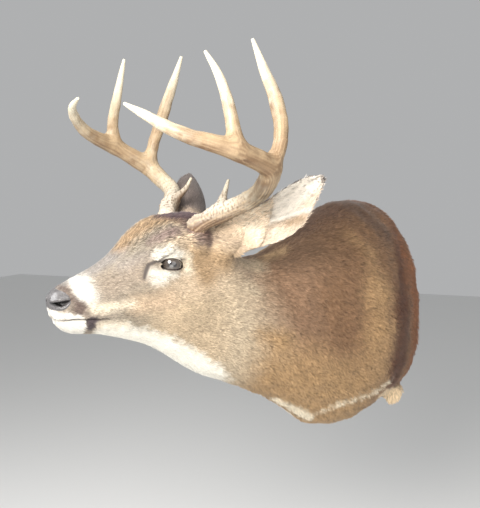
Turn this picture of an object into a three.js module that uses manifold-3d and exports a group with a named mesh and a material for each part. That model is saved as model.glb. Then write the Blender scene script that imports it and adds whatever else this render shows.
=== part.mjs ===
// A white-tailed deer shoulder mount: head, neck and shoulders on a hidden back board, with an eight-point rack.
// Millimetres, +Z up. The wall is the plane y = 0 and the mount stands out of it towards -Y.
// The origin is the middle of the back board's rear face. The deer's own left side is towards +X.
import * as THREE from "three";
import { mergeVertices } from "three/addons/utils/BufferGeometryUtils.js";
import Module from "manifold-3d";

const wasm = await Module();
wasm.setup();

// ---------------------------------------------------------------- driving dimensions
const GAP = 0.3; // clear space between neighbouring pieces
const NOSE = new THREE.Vector3(-340, -640, 10); // the head line's front end, under the nose
const HEAD_TURN = 32.7; // degrees, the head's heading away from the wall's normal, to the deer's right
const HEAD_DROP = 4; // degrees, nose down
const HEAD_TILT = 5.7; // degrees, the deer's left side down
const HEAD_LENGTH = 300; // nose to nape along the head line
const WALL_PULL = 150; // how far the spine runs straight out of the wall before it bends
const NAPE_PULL = 190; // how far it runs straight back from the nape
const NECK_START = 300; // distances behind the nose of the cuts between head, neck and shoulders
const SHOULDER_START = 500;
const REAR_EDGE_Y = -1; // the hide ends just short of the wall
const RING_SIDES = 28;

const BOARD = { width: 250, height: 370, thick: 18, drop: 12 };
const HANGER = { width: 64, height: 34, thick: 2.4, up: 120, slot: 9, recess: 11 };

const EYE = { behind: 192, side: 52.5, up: 98, radius: 17 };
const LIDS = { width: 19, height: 12.5, depth: 20, from: 5 }; // half sizes of the opening between the lids
const MOUTH = { up: 27, corner: 82, rise: 0.1 }; // the lip line's height, length and slope
const NOSE_PAD = { depth: 17, low: 37, high: 66 };

// ---------------------------------------------------------------- small helpers
const radians = THREE.MathUtils.degToRad;
const lerp = THREE.MathUtils.lerp;

// One closed solid from rings of points, each ring with the same number of points, capped at both ends.
function skinned(rings) {
  const n = rings[0].length;
  const positions = rings.flat().flatMap((p) => [p.x, p.y, p.z]);
  const faces = [];
  for (let r = 0; r + 1 < rings.length; r++)
    for (let k = 0; k < n; k++) {
      const a = r * n + k;
      const b = r * n + ((k + 1) % n);
      faces.push(a, b, b + n, a, b + n, a + n);
    }
  for (const [start, turned] of [[0, true], [(rings.length - 1) * n, false]]) {
    const ring = rings[start / n];
    const centre = ring.reduce((sum, p) => sum.add(p), new THREE.Vector3()).multiplyScalar(1 / n);
    const hub = positions.length / 3;
    positions.push(centre.x, centre.y, centre.z);
    for (let k = 0; k < n; k++) {
      const a = start + k;
      const b = start + ((k + 1) % n);
      faces.push(...(turned ? [hub, b, a] : [hub, a, b]));
    }
  }
  if (volume(positions, faces) < 0) faces.reverse();
  const geometry = new THREE.BufferGeometry();
  geometry.setAttribute("position", new THREE.Float32BufferAttribute(positions, 3));
  geometry.setIndex(faces);
  return geometry;
}

// The volume inside a closed mesh, negative when its faces look inwards.
function volume(positions, faces) {
  const point = (i) => new THREE.Vector3().fromArray(positions, 3 * i);
  let sum = 0;
  for (let i = 0; i < faces.length; i += 3)
    sum += point(faces[i]).dot(point(faces[i + 1]).cross(point(faces[i + 2]))) / 6;
  return sum;
}

function toSolid(geometry) {
  const bare = new THREE.BufferGeometry();
  bare.setAttribute("position", geometry.getAttribute("position"));
  if (geometry.index) bare.setIndex(geometry.index);
  const merged = mergeVertices(bare, 1e-4);
  const solid = new wasm.Manifold(
    new wasm.Mesh({
      numProp: 3,
      vertProperties: new Float32Array(merged.attributes.position.array),
      triVerts: new Uint32Array(merged.index.array),
    }),
  );
  return solid;
}

function toGeometry(solid) {
  const mesh = solid.getMesh();
  const geometry = new THREE.BufferGeometry();
  geometry.setAttribute("position", new THREE.BufferAttribute(new Float32Array(mesh.vertProperties), 3));
  geometry.setIndex(new THREE.BufferAttribute(new Uint32Array(mesh.triVerts), 1));
  return geometry;
}

// A smooth value between the rows of a table whose first column is the distance.
function between(table, column, at) {
  const last = table.length - 1;
  let i = 0;
  while (i < last - 1 && table[i + 1][0] < at) i++;
  const [x0, x1] = [table[i][0], table[i + 1][0]];
  const slope = (j) => {
    const a = Math.max(j - 1, 0);
    const b = Math.min(j + 1, last);
    return (table[b][column] - table[a][column]) / (table[b][0] - table[a][0]);
  };
  const t = THREE.MathUtils.clamp((at - x0) / (x1 - x0), 0, 1);
  const h = x1 - x0;
  const [y0, y1] = [table[i][column], table[i + 1][column]];
  const t2 = t * t;
  const t3 = t2 * t;
  return (
    (2 * t3 - 3 * t2 + 1) * y0 +
    (t3 - 2 * t2 + t) * h * slope(i) +
    (3 * t2 - 2 * t3) * y1 +
    (t3 - t2) * h * slope(i + 1)
  );
}

// ---------------------------------------------------------------- the spine, from the nose to the wall
const forward = new THREE.Vector3(
  -Math.sin(radians(HEAD_TURN)) * Math.cos(radians(HEAD_DROP)),
  -Math.cos(radians(HEAD_TURN)) * Math.cos(radians(HEAD_DROP)),
  -Math.sin(radians(HEAD_DROP)),
);
const nape = NOSE.clone().addScaledVector(forward, -HEAD_LENGTH);
const neckCurve = new THREE.CubicBezierCurve3(
  nape,
  nape.clone().addScaledVector(forward, -NAPE_PULL),
  new THREE.Vector3(0, -WALL_PULL, 0),
  new THREE.Vector3(0, 0, 0),
);
const NECK_LENGTH = neckCurve.getLength();
const LENGTH = HEAD_LENGTH + NECK_LENGTH;

// The place and the three directions of the body at a distance behind the nose.
function frameAt(behind) {
  const along = (behind - HEAD_LENGTH) / NECK_LENGTH;
  const inHead = along <= 0;
  const at = inHead ? NOSE.clone().addScaledVector(forward, -behind) : neckCurve.getPointAt(Math.min(along, 1));
  const ahead = inHead ? forward.clone() : neckCurve.getTangentAt(Math.min(along, 1)).negate();
  const left = new THREE.Vector3(0, 0, 1).cross(ahead).normalize();
  const tilt = -radians(HEAD_TILT) * (1 - THREE.MathUtils.smoothstep(behind, HEAD_LENGTH, SHOULDER_START));
  left.applyAxisAngle(ahead, tilt);
  const up = ahead.clone().cross(left);
  return { at, ahead, left, up };
}

// A point of the skull, given behind the nose, to the deer's left and above the head line.
const skull = frameAt(0);
const headPoint = (behind, side, up) =>
  NOSE.clone().addScaledVector(forward, -behind).addScaledVector(skull.left, side).addScaledVector(skull.up, up);

// A direction given as its parts ahead, to the deer's left and up.
const headDirection = (ahead, left, up) =>
  forward.clone().multiplyScalar(ahead).addScaledVector(skull.left, left).addScaledVector(skull.up, up).normalize();

// ---------------------------------------------------------------- the body's outline, coat included
// Behind the nose, top and bottom of the section, half width, height of the widest place, and the
// roundness of the section above and below that place (2 is an ellipse, more is squarer).
const SECTIONS = [
  [0, 60, 36, 13, 48, 2.2, 2.2],
  [4, 65, 27, 20, 46, 2.4, 2.4],
  [12, 71, 12, 24.5, 44, 2.4, 2.4],
  [26, 77, 0, 28, 36, 2.2, 2.6],
  [48, 87, -7, 30, 30, 2.0, 2.4],
  [78, 100, -13, 33, 32, 1.8, 2.3],
  [105, 115, -23, 38, 46, 1.8, 2.1],
  [130, 136, -33, 46, 68, 2.0, 2.0],
  [155, 151, -44, 56, 92, 2.3, 1.9],
  [178, 162, -57, 63, 106, 2.6, 1.9],
  [202, 169, -74, 66, 108, 2.6, 2.0],
  [235, 171, -101, 64, 96, 2.4, 2.1],
  [270, 168, -126, 65, 62, 2.2, 2.2],
  [300, 148, -142, 71, 24, 2.0, 2.2],
  [330, 109, -154, 78, -4, 2.0, 2.2],
  [370, 80, -170, 86, -20, 1.9, 2.2],
  [425, 94, -190, 94, -28, 1.8, 2.1],
  [470, 128, -209, 101, -34, 1.8, 2.1],
  [520, 168, -230, 108, -38, 1.8, 2.0],
  [575, 202, -252, 118, -42, 1.9, 1.9],
  [625, 214, -258, 128, -46, 2.0, 2.1],
  [670, 218, -249, 137, -46, 2.1, 2.25],
  [LENGTH, 222, -232, 156, -42, 2.2, 2.3],
];

// Swellings (and, below zero, hollows) of the outline: behind the nose, side, height, then reach and rise.
const SWELLS = [
  { name: "brow", at: [188, 60, 122], reach: 19, rise: 5 },
  { name: "ear root", at: [276, 50, 150], reach: 32, rise: 12 },
  { name: "cheek bone", at: [165, 50, 66], reach: 26, rise: 3 },
  { name: "jaw muscle", at: [232, 58, 20], reach: 42, rise: 7 },
  { name: "behind the jaw", at: [292, 66, 30], reach: 34, rise: -5 },
  { name: "nostril wing", at: [16, 23, 50], reach: 11, rise: 3 },
  { name: "under the eye", at: [150, 46, 90], reach: 17, rise: -3 },
  { name: "shoulder point", at: [640, 122, -40], reach: 52, rise: 9 },
  { name: "groove behind the shoulder", at: [705, 142, -60], reach: 17, rise: -9 },
  { name: "leg opening", at: [690, 66, -212], reach: 28, rise: -14 },
  { name: "brisket", at: [560, 0, -246], reach: 40, rise: 6 },
];

function sectionRing(behind, shrink = 0) {
  const f = frameAt(behind);
  const [top, bottom, half, widest, upper, lower] = [1, 2, 3, 4, 5, 6].map((c) => between(SECTIONS, c, behind));
  const ring = [];
  for (let k = 0; k < RING_SIDES; k++) {
    const angle = (2 * Math.PI * k) / RING_SIDES;
    const [c, s] = [Math.cos(angle), Math.sin(angle)];
    const power = 2 / (s >= 0 ? upper : lower);
    const rise = s >= 0 ? top - widest : widest - bottom;
    let side = half * Math.sign(c) * Math.abs(c) ** power;
    let up = widest + rise * Math.sign(s) * Math.abs(s) ** power;
    for (const { at, reach, rise: swell } of SWELLS)
      for (const mirror of at[1] === 0 ? [1] : [1, -1]) {
        const d2 = (behind - at[0]) ** 2 + (side - mirror * at[1]) ** 2 + (up - at[2]) ** 2;
        const push = swell * Math.exp(-d2 / reach ** 2);
        side += push * c;
        up += push * s;
      }
    const from = Math.hypot(side, up - widest);
    const kept = (from - shrink) / from;
    ring.push(
      f.at
        .clone()
        .addScaledVector(f.left, side * kept)
        .addScaledVector(f.up, widest + (up - widest) * kept),
    );
  }
  return ring;
}

// The distances of the rings between two cuts: close together at the face and wider apart on the shoulders.
function ringDistances(from, to) {
  const count = Math.ceil((to - from) / lerp(10.5, 18, THREE.MathUtils.smoothstep(from, 0, SHOULDER_START)));
  return Array.from({ length: count + 1 }, (_, i) => lerp(from, to, i / count));
}

const bodyLength = (from, to) => toSolid(skinned(ringDistances(from, to).map((d) => sectionRing(d))));

// ---------------------------------------------------------------- boxes for cuts, in the head's own directions
function headBox(centre, size, slope = 0) {
  const box = new THREE.BoxGeometry(...size);
  const turn = new THREE.Matrix4().makeBasis(forward, skull.left, skull.up);
  box.applyMatrix4(new THREE.Matrix4().makeRotationY(slope));
  box.applyMatrix4(turn);
  const at = headPoint(...centre);
  box.translate(at.x, at.y, at.z);
  return toSolid(box);
}

// ---------------------------------------------------------------- eyes
const eyePlace = (side) => headPoint(EYE.behind, side * EYE.side, EYE.up);

function eyeBall(side, grow = 0) {
  const ball = new THREE.SphereGeometry(EYE.radius + grow, 14, 8);
  const at = eyePlace(side);
  ball.translate(at.x, at.y, at.z);
  return toSolid(ball);
}

// The hollow between the lids that lays the front of the eyeball bare.
function eyeOpening(side) {
  const { width, height, depth, from } = LIDS;
  const hollow = new THREE.SphereGeometry(1, 16, 10);
  hollow.scale(width, depth, height);
  hollow.applyMatrix4(new THREE.Matrix4().makeBasis(forward, skull.left, skull.up));
  const at = eyePlace(side).addScaledVector(headDirection(0.42, side, 0.1), from + depth);
  hollow.translate(at.x, at.y, at.z);
  return toSolid(hollow);
}

// ---------------------------------------------------------------- head, nose leather and lower jaw
function headPieces() {
  let head = bodyLength(0, NECK_START - GAP / 2);
  for (const side of [1, -1]) head = head.subtract(eyeBall(side, GAP)).subtract(eyeOpening(side));
  const padHeight = NOSE_PAD.high + 30 - NOSE_PAD.low;
  const padSize = [2 * NOSE_PAD.depth, 90, padHeight];
  const padCentre = [0, 0, NOSE_PAD.low + padHeight / 2];
  const nose = head.intersect(headBox(padCentre, padSize));
  head = head.subtract(headBox(padCentre, padSize.map((v) => v + 2 * GAP)));
  const jawSize = [2 * MOUTH.corner, 160, 120];
  const jawCentre = [0, 0, MOUTH.up - jawSize[2] / 2];
  const slope = Math.atan(MOUTH.rise);
  const jaw = head.intersect(headBox(jawCentre, jawSize, slope));
  head = head.subtract(headBox(jawCentre, jawSize.map((v) => v + 2 * GAP), slope));
  return { head, nose, jaw };
}

// ---------------------------------------------------------------- shoulders and back board
function boardOutline(grow) {
  const outline = new THREE.Shape();
  outline.absellipse(0, 0, BOARD.width / 2 + grow, BOARD.height / 2 + grow, 0, 2 * Math.PI, false, 0);
  return outline;
}

// A flat plate from an outline drawn in x and z, from its rear plane towards -Y.
function plate(outline, thick, rearY, up) {
  const solid = new THREE.ExtrudeGeometry(outline, { depth: thick, bevelEnabled: false, curveSegments: 12 });
  solid.rotateX(Math.PI / 2);
  solid.translate(0, rearY, up);
  return toSolid(solid);
}

// The flap of hide that hangs at the rear lower corner, where the leg was cut off.
const FLAP = { side: 104, up: -196, rear: -6, depth: 46, half: 21, height: 41 };

function legFlap(side) {
  const rings = [];
  for (let i = 0; i <= 6; i++) {
    const t = i / 6;
    const round = Math.sqrt(Math.max(0.04, 1 - t ** 4));
    const ring = [];
    for (let k = 0; k < 14; k++) {
      const angle = (2 * Math.PI * k) / 14;
      ring.push(
        new THREE.Vector3(
          side * (FLAP.side - 5 * t) + FLAP.half * round * Math.cos(angle),
          FLAP.rear - FLAP.depth / 2 + (FLAP.depth / 2) * (1 - 0.3 * t) * Math.sin(angle),
          FLAP.up + 10 - FLAP.height * t,
        ),
      );
    }
    rings.push(ring);
  }
  return toSolid(skinned(rings));
}

function shoulders() {
  let body = bodyLength(SHOULDER_START + GAP / 2, LENGTH + REAR_EDGE_Y);
  body = body.add(legFlap(1)).add(legFlap(-1));
  const pocket = plate(boardOutline(GAP), BOARD.thick + GAP + 5, 5, -BOARD.drop); // open at the wall
  return body.subtract(pocket);
}

function backBoard() {
  const board = plate(boardOutline(0), BOARD.thick, 0, -BOARD.drop);
  const recess = new THREE.Shape();
  const [w, h] = [HANGER.width / 2 + GAP, HANGER.height / 2 + GAP];
  recess.moveTo(-w, -h).lineTo(w, -h).lineTo(w, h).lineTo(-w, h);
  return board.subtract(plate(recess, HANGER.recess + 1, 1, HANGER.up));
}

// A steel plate with a keyhole slot, let into the back of the board.
function hangerPlate() {
  const outline = new THREE.Shape();
  const [w, h] = [HANGER.width / 2, HANGER.height / 2];
  outline.moveTo(-w, -h).lineTo(w, -h).lineTo(w, h).lineTo(-w, h);
  const keyhole = new THREE.Path();
  keyhole.absarc(0, -5, HANGER.slot / 2 + 1.5, radians(60), radians(120), true);
  keyhole.lineTo(-HANGER.slot / 4, 9);
  keyhole.absarc(0, 9, HANGER.slot / 4, Math.PI, 0, true);
  outline.holes.push(keyhole);
  return plate(outline, HANGER.thick, -1, HANGER.up);
}

// ---------------------------------------------------------------- ears
const EAR = { length: 200, thick: 5, bend: 10, arcPoints: 7, rings: 12 };
// Along the ear: share of its length, half width, half the angle its shell wraps, and how hollow it is.
const EAR_FORM = [
  [0, 31, 100, 0],
  [0.12, 33, 98, 0],
  [0.22, 34, 92, 0.1],
  [0.34, 36, 80, 0.9],
  [0.48, 38, 70, 1],
  [0.66, 34, 60, 1],
  [0.82, 24.5, 54, 1],
  [0.94, 14, 50, 1],
  [1, 6, 46, 1],
];
// Where each ear stands behind the nose, to the side and up, the way it points, and the way it opens,
// both as parts ahead, to the deer's left and up, and how far its middle sways across.
const EARS = {
  left: { base: [298, 55, 126], point: [-0.47, 0.65, 0.54], open: [0.5, 0.86, 0], sway: 17 },
  right: { base: [296, -52, 124], point: [-0.47, -0.76, 0.475], open: [0.34, -0.55, -0.76], sway: 3 },
};

function ear({ base, point, open, sway }) {
  const along = headDirection(...point);
  const opening = headDirection(...open);
  opening.addScaledVector(along, -opening.dot(along)).normalize();
  const across = along.clone().cross(opening);
  const root = headPoint(...base);
  const rings = [];
  for (let i = 0; i <= EAR.rings; i++) {
    const t = i / EAR.rings;
    const [half, wrap, hollow] = [1, 2, 3].map((c) => between(EAR_FORM, c, t));
    const turn = radians(wrap);
    const radius = half / Math.sin(Math.min(turn, Math.PI / 2));
    const thick = Math.min(EAR.thick, half * 0.8);
    const shift = radius * (0.45 + 0.55 * Math.cos(turn));
    const place = (p, q) =>
      root
        .clone()
        .addScaledVector(along, EAR.length * t)
        .addScaledVector(across, p + sway * Math.sin(Math.PI * t) ** 2)
        .addScaledVector(opening, shift - q - EAR.bend * Math.sin(Math.PI * t));
    const outer = [];
    const inner = [];
    for (let k = 0; k <= EAR.arcPoints; k++) {
      const a = lerp(-turn, turn, k / EAR.arcPoints);
      outer.push(place(radius * Math.sin(a), radius * Math.cos(a)));
      const edge = k === 0 || k === EAR.arcPoints;
      const inside = radius - thick;
      const chord = radius * Math.cos(turn) + 0.6;
      const p = (edge ? radius - thick * 0.5 : inside) * Math.sin(a);
      inner.push(place(p, lerp(Math.min(chord, inside * Math.cos(a) + 0.6), inside * Math.cos(a), hollow)));
    }
    rings.push([...outer, ...inner.reverse()]);
  }
  return toSolid(skinned(rings));
}

// ---------------------------------------------------------------- antlers
const TINE_SIDES = 10;
// Points are behind the nose, to the side and up. A size is a radius at the start, the middle and the end.
const RACK = {
  left: {
    side: 1,
    beam: [[236, 38, 132], [244, 51, 155], [260, 71, 171], [279, 94, 185], [296, 127, 203], [297, 161, 225],
      [288, 187, 255], [256, 195, 271], [218, 199, 284], [181, 190, 296], [151, 177, 305], [127, 157, 318],
      [111, 127, 334], [100, 86, 350]],
    brow: { points: [[266, 78, 178], [282, 70, 200], [292, 64, 214], [302, 58, 230]], size: [7.5, 5.5, 2.2] },
    second: { points: [[286, 186, 250], [305, 189, 292], [314, 179, 322], [316, 162, 361], [313, 138, 403],
      [310, 112, 451]], size: [12.5, 12, 3.4] },
    third: { points: [[219, 199, 282], [217, 190, 318], [216, 176, 359], [214, 156, 394], [208, 133, 425]],
      size: [12, 9, 2.8] },
  },
  right: {
    side: -1,
    beam: [[236, 38, 132], [245, 51, 157], [259, 72, 171], [281, 94, 184], [297, 126, 199], [295, 161, 216],
      [284, 186, 236], [259, 194, 254], [216, 199, 279], [183, 190, 292], [152, 177, 307], [126, 157, 328],
      [108, 127, 347], [102, 85, 362]],
    brow: { points: [[262, 75, 174], [280, 68, 193], [290, 64, 203], [302, 59, 225]], size: [8, 5.5, 2.2] },
    second: { points: [[282, 184, 234], [295, 188, 281], [304, 180, 315], [312, 161, 361], [316, 137, 404],
      [317, 113, 442]], size: [12, 10.8, 3.2] },
    third: { points: [[217, 199, 277], [212, 190, 326], [212, 174, 359], [213, 154, 401], [211, 133, 433]],
      size: [11, 8.3, 2.6] },
  },
};
// The beam's radius against the share of its length: a burr at the skull and a swelling at each fork.
const BEAM_SIZE = [
  [0, 12],
  [0.045, 17],
  [0.075, 14.5],
  [0.14, 14.8],
  [0.3, 14.8],
  [0.39, 16],
  [0.45, 17.6],
  [0.52, 15.6],
  [0.6, 15.2],
  [0.68, 12.6],
  [0.8, 9.8],
  [0.9, 7],
  [1, 2],
];
const FORKS = [0.35, 0.56]; // where the beam is divided, just before each of its two forks

const curveOf = (points, side) =>
  new THREE.CatmullRomCurve3(points.map(([b, s, u]) => headPoint(b, side * s, u)), false, "centripetal");

// A round tube of changing radius along a stretch of a curve.
function tube(curve, radiusAt, from, to, steps) {
  const rings = [];
  let across = null;
  for (let i = 0; i <= steps; i++) {
    const t = lerp(from, to, i / steps);
    const ahead = curve.getTangentAt(t);
    across = (across ?? new THREE.Vector3(0.3, 0.2, 1)).clone();
    across.addScaledVector(ahead, -across.dot(ahead)).normalize();
    const other = ahead.clone().cross(across);
    const radius = radiusAt(t);
    rings.push(
      Array.from({ length: TINE_SIDES }, (_, k) => {
        const a = (2 * Math.PI * k) / TINE_SIDES;
        return curve
          .getPointAt(t)
          .addScaledVector(across, radius * Math.cos(a))
          .addScaledVector(other, radius * Math.sin(a));
      }),
    );
  }
  return toSolid(skinned(rings));
}

// A tine, its root cut to the beam it grows from.
function tine({ points, size: [start, middle, end] }, side, beam) {
  const curve = curveOf(points, side);
  const flare = (t) => 1 + 0.5 * Math.exp(-((t / 0.1) ** 2));
  const radiusAt = (t) => flare(t) * (t < 0.5 ? lerp(start, middle, t * 2) : lerp(middle, end, (t * 2 - 1) ** 1.3));
  const pieces = tube(curve, radiusAt, 0, 1, 8).subtract(beam).decompose();
  return pieces.sort((a, b) => b.volume() - a.volume())[0];
}

function antler({ side, beam, brow, second, third }) {
  const curve = curveOf(beam, side);
  const gap = GAP / 2 / curve.getLength();
  const cuts = [0, ...FORKS, 1];
  const stretch = (i, grow) =>
    tube(curve, (t) => between(BEAM_SIZE, 1, t) + grow, cuts[i] + (i ? gap : 0), cuts[i + 1] - (i < 2 ? gap : 0), 10);
  const around = [0, 1, 2].map((i) => stretch(i, GAP)).reduce((all, next) => all.add(next));
  return [
    ["beam_base", stretch(0, 0)],
    ["beam_middle", stretch(1, 0)],
    ["beam_end", stretch(2, 0)],
    ["brow_tine", tine(brow, side, around)],
    ["second_tine", tine(second, side, around)],
    ["third_tine", tine(third, side, around)],
  ];
}

// ---------------------------------------------------------------- the model
const finish = (color, roughness, metalness = 0) => new THREE.MeshStandardMaterial({ color, roughness, metalness });
const coat = finish(0xa5825c, 0.85);
const antlerBone = finish(0xcbb58c, 0.5);
const noseLeather = finish(0x2c2a2b, 0.35);
const glass = finish(0x14100c, 0.08);
const plywood = finish(0xb89468, 0.75);
const steel = finish(0x8f9296, 0.35, 0.9);

const model = new THREE.Group();
const add = (name, solid, material) => {
  const mesh = new THREE.Mesh(toGeometry(solid), material);
  mesh.name = name;
  model.add(mesh);
};

const { head, nose, jaw } = headPieces();
let crown = head;
for (const [name, form] of Object.entries(EARS)) {
  const solid = ear(form);
  add("ear_" + name, solid, coat);
  crown = crown.subtract(solid);
}
for (const [name, form] of Object.entries(RACK))
  for (const [part, solid] of antler(form)) {
    add("antler_" + name + "_" + part, solid, antlerBone);
    if (part === "beam_base") crown = crown.subtract(solid);
  }
add("head", crown, coat);
add("nose_pad", nose, noseLeather);
add("lower_jaw", jaw, coat);
add("neck", bodyLength(NECK_START + GAP / 2, SHOULDER_START - GAP / 2), coat);
add("shoulders", shoulders(), coat);
for (const [name, side] of [["left", 1], ["right", -1]]) add("eye_" + name, eyeBall(side), glass);
add("back_board", backBoard(), plywood);
add("hanger_plate", hangerPlate(), steel);

export default model;
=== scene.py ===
"""A white-tailed deer's shoulder mount: one skin under its coat, with nose leather, glass eyes,
antlers and the board and hanger at its back. Positions on the animal are in millimetres: how far
behind the nose, how far to the deer's left, and how far above the line down its middle."""
import math

import bmesh
import bpy
import numpy as np
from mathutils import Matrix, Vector


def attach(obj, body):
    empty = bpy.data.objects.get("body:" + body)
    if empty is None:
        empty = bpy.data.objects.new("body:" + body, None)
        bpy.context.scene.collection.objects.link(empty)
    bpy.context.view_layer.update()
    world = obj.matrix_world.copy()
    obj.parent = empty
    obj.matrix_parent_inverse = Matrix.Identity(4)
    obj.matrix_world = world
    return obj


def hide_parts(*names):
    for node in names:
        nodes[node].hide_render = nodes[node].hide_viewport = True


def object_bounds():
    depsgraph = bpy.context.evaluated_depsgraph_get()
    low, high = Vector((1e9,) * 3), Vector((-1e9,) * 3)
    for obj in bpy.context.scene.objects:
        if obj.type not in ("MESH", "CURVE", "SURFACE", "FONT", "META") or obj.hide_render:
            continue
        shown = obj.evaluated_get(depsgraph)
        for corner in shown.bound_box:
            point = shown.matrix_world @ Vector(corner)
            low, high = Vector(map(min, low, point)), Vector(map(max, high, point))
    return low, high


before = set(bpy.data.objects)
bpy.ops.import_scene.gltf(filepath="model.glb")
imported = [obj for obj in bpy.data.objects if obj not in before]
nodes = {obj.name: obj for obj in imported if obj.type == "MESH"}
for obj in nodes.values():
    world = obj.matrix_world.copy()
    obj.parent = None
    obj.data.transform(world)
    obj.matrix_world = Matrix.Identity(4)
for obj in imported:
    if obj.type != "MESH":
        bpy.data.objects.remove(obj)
cad_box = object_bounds()
scene = bpy.context.scene

MM = 0.001
SIDES = {1: "left", -1: "right"}  # the deer's own sides, and the sign of each

# ---------------------------------------------------------------- driving values
NOSE = np.array([-340.0, -640.0, 10.0])  # where the middle line starts, under the nose
HEAD_TURN = math.radians(32.7)
HEAD_DROP = math.radians(4.0)
HEAD_TILT = math.radians(5.7)
HEAD_LENGTH = 300.0
NAPE_PULL = 190.0
WALL_PULL = 150.0
SHOULDER_START = 500.0

EYE = {"behind": 192.0, "side": 52.5, "up": 98.0, "radius": 17.0}
EYE_FACING = (0.42, 1.0, 0.1)  # ahead, outwards and up
# Half lengths and heights of the opening between the lids, and the lids' thickness.
LID_OPENING = {"front": 18.8, "rear": 18.4, "top": 8.3, "bottom": 10.8, "thick": 1.5}
WALL = {"skin": 0.0006, "tufts": 0.0014, "roots": 0.006}  # how far off it each stays, in metres

SKIN_GRAIN = 5.6  # size of the skin's faces on the body
EAR_GRAIN = 2.1
ANTLER_GRAIN = 1.35
EAR_LENGTH = 200.0
# Each ear's foot, its directions to the tip and out of its opening, and how far its line sways.
EARS = {
    1: {
        "base": (298, 55, 126), "point": (-0.47, 0.65, 0.54),
        "open": (0.5, 0.86, 0), "sway": 17,
    },
    -1: {
        "base": (296, -52, 124), "point": (-0.47, -0.76, 0.475),
        "open": (0.34, -0.55, -0.76), "sway": -3,
    },
}
BURR = (243.0, 51.0, 158.0)  # the foot of each antler
ANTLER_TIPS = ((100, 86, 350), (314, 113, 446), (210, 133, 425), (302, 59, 228))
# The stems of each antler, as points behind the nose, to the side and up.
RACK = {
    1: {
        "beam": (
            (236, 38, 132), (244, 51, 155), (260, 71, 171), (279, 94, 185), (296, 127, 203),
            (297, 161, 225), (288, 187, 255), (256, 195, 271), (218, 199, 284), (181, 190, 296),
            (151, 177, 305), (127, 157, 318), (111, 127, 334), (100, 86, 350),
        ),
        "brow": ((266, 78, 178), (282, 70, 200), (292, 64, 214), (302, 58, 230)),
        "second": (
            (286, 186, 250), (305, 189, 292), (314, 179, 322),
            (316, 162, 361), (313, 138, 403), (310, 112, 451),
        ),
        "third": (
            (219, 199, 282), (217, 190, 318), (216, 176, 359), (214, 156, 394), (208, 133, 425),
        ),
    },
    -1: {
        "beam": (
            (236, 38, 132), (245, 51, 157), (259, 72, 171), (281, 94, 184), (297, 126, 199),
            (295, 161, 216), (284, 186, 236), (259, 194, 254), (216, 199, 279), (183, 190, 292),
            (152, 177, 307), (126, 157, 328), (108, 127, 347), (102, 85, 362),
        ),
        "brow": ((262, 75, 174), (280, 68, 193), (290, 64, 203), (302, 59, 225)),
        "second": (
            (282, 184, 234), (295, 188, 281), (304, 180, 315),
            (312, 161, 361), (316, 137, 404), (317, 113, 442),
        ),
        "third": (
            (217, 199, 277), (212, 190, 326), (212, 174, 359), (213, 154, 401), (211, 133, 433),
        ),
    },
}
# Shares of the length of each kind of stem, and its radius there.
STEM_SIZES = {
    "beam": (
        (0, 0.045, 0.08, 0.14, 0.3, 0.39, 0.5, 0.6, 0.68, 0.8, 0.9, 1),
        (12, 15.5, 14.3, 14.8, 15.0, 16.2, 15.8, 14.8, 12.6, 9.8, 7.2, 2.4),
    ),
    "brow": ((0, 0.5, 1), (7.5, 5.5, 2.2)),
    "second": (
        (0, 0.2, 0.4, 0.53, 0.68, 0.77, 0.85, 0.93, 1),
        (12.3, 10.8, 11.6, 11.2, 9.4, 7.9, 6.0, 4.3, 2.6),
    ),
    "third": ((0, 0.5, 0.8, 0.93, 1), (11.5, 8.8, 5.6, 3.7, 2.4)),
}
WEB = 5.5  # how fully the antler's forks are webbed
ANTLER_PARTS = ("beam_base", "beam_middle", "beam_end", "brow_tine", "second_tine", "third_tine")
CAMERA = {
    "at": (0.301, -1.458, 0.214), "azimuth": 21.42, "down": 4.486,
    "lens": 46.06, "sensor": 36.0,
}
FLOOR = {"half": 6.0, "below": 0.55}  # half its width, and how far it lies under the mount


# ---------------------------------------------------------------- the line down the animal's middle
def unit(direction):
    return direction / np.linalg.norm(direction)


def units(directions):
    return directions / np.linalg.norm(directions, axis=-1)[..., None]


def turned(vector, axis, angle):
    return (
        vector * math.cos(angle)
        + np.cross(axis, vector) * math.sin(angle)
        + axis * np.dot(axis, vector) * (1 - math.cos(angle))
    )


def step(low, high, value):
    """0 below low, 1 above high and a smooth rise between."""
    t = np.clip((np.asarray(value, float) - low) / (high - low), 0, 1)
    return t * t * (3 - 2 * t)


def fall(low, high, value):
    """1 below low, 0 above high and a smooth fall between."""
    return 1 - step(low, high, value)


AHEAD = np.array(
    [
        -math.sin(HEAD_TURN) * math.cos(HEAD_DROP),
        -math.cos(HEAD_TURN) * math.cos(HEAD_DROP),
        -math.sin(HEAD_DROP),
    ]
)


def side_and_up(ahead, behind):
    left = unit(np.cross([0.0, 0.0, 1.0], ahead))
    left = turned(left, ahead, -HEAD_TILT * (1 - float(step(HEAD_LENGTH, SHOULDER_START, behind))))
    return left, np.cross(ahead, left)


def run_along(line):
    """How far along a line each of its points is."""
    return np.concatenate([[0], np.cumsum(np.linalg.norm(np.diff(line, axis=0), axis=1))])


def read_line(line, run, along):
    return np.stack([np.interp(along, run, line[:, k]) for k in range(3)], 1)


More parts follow.
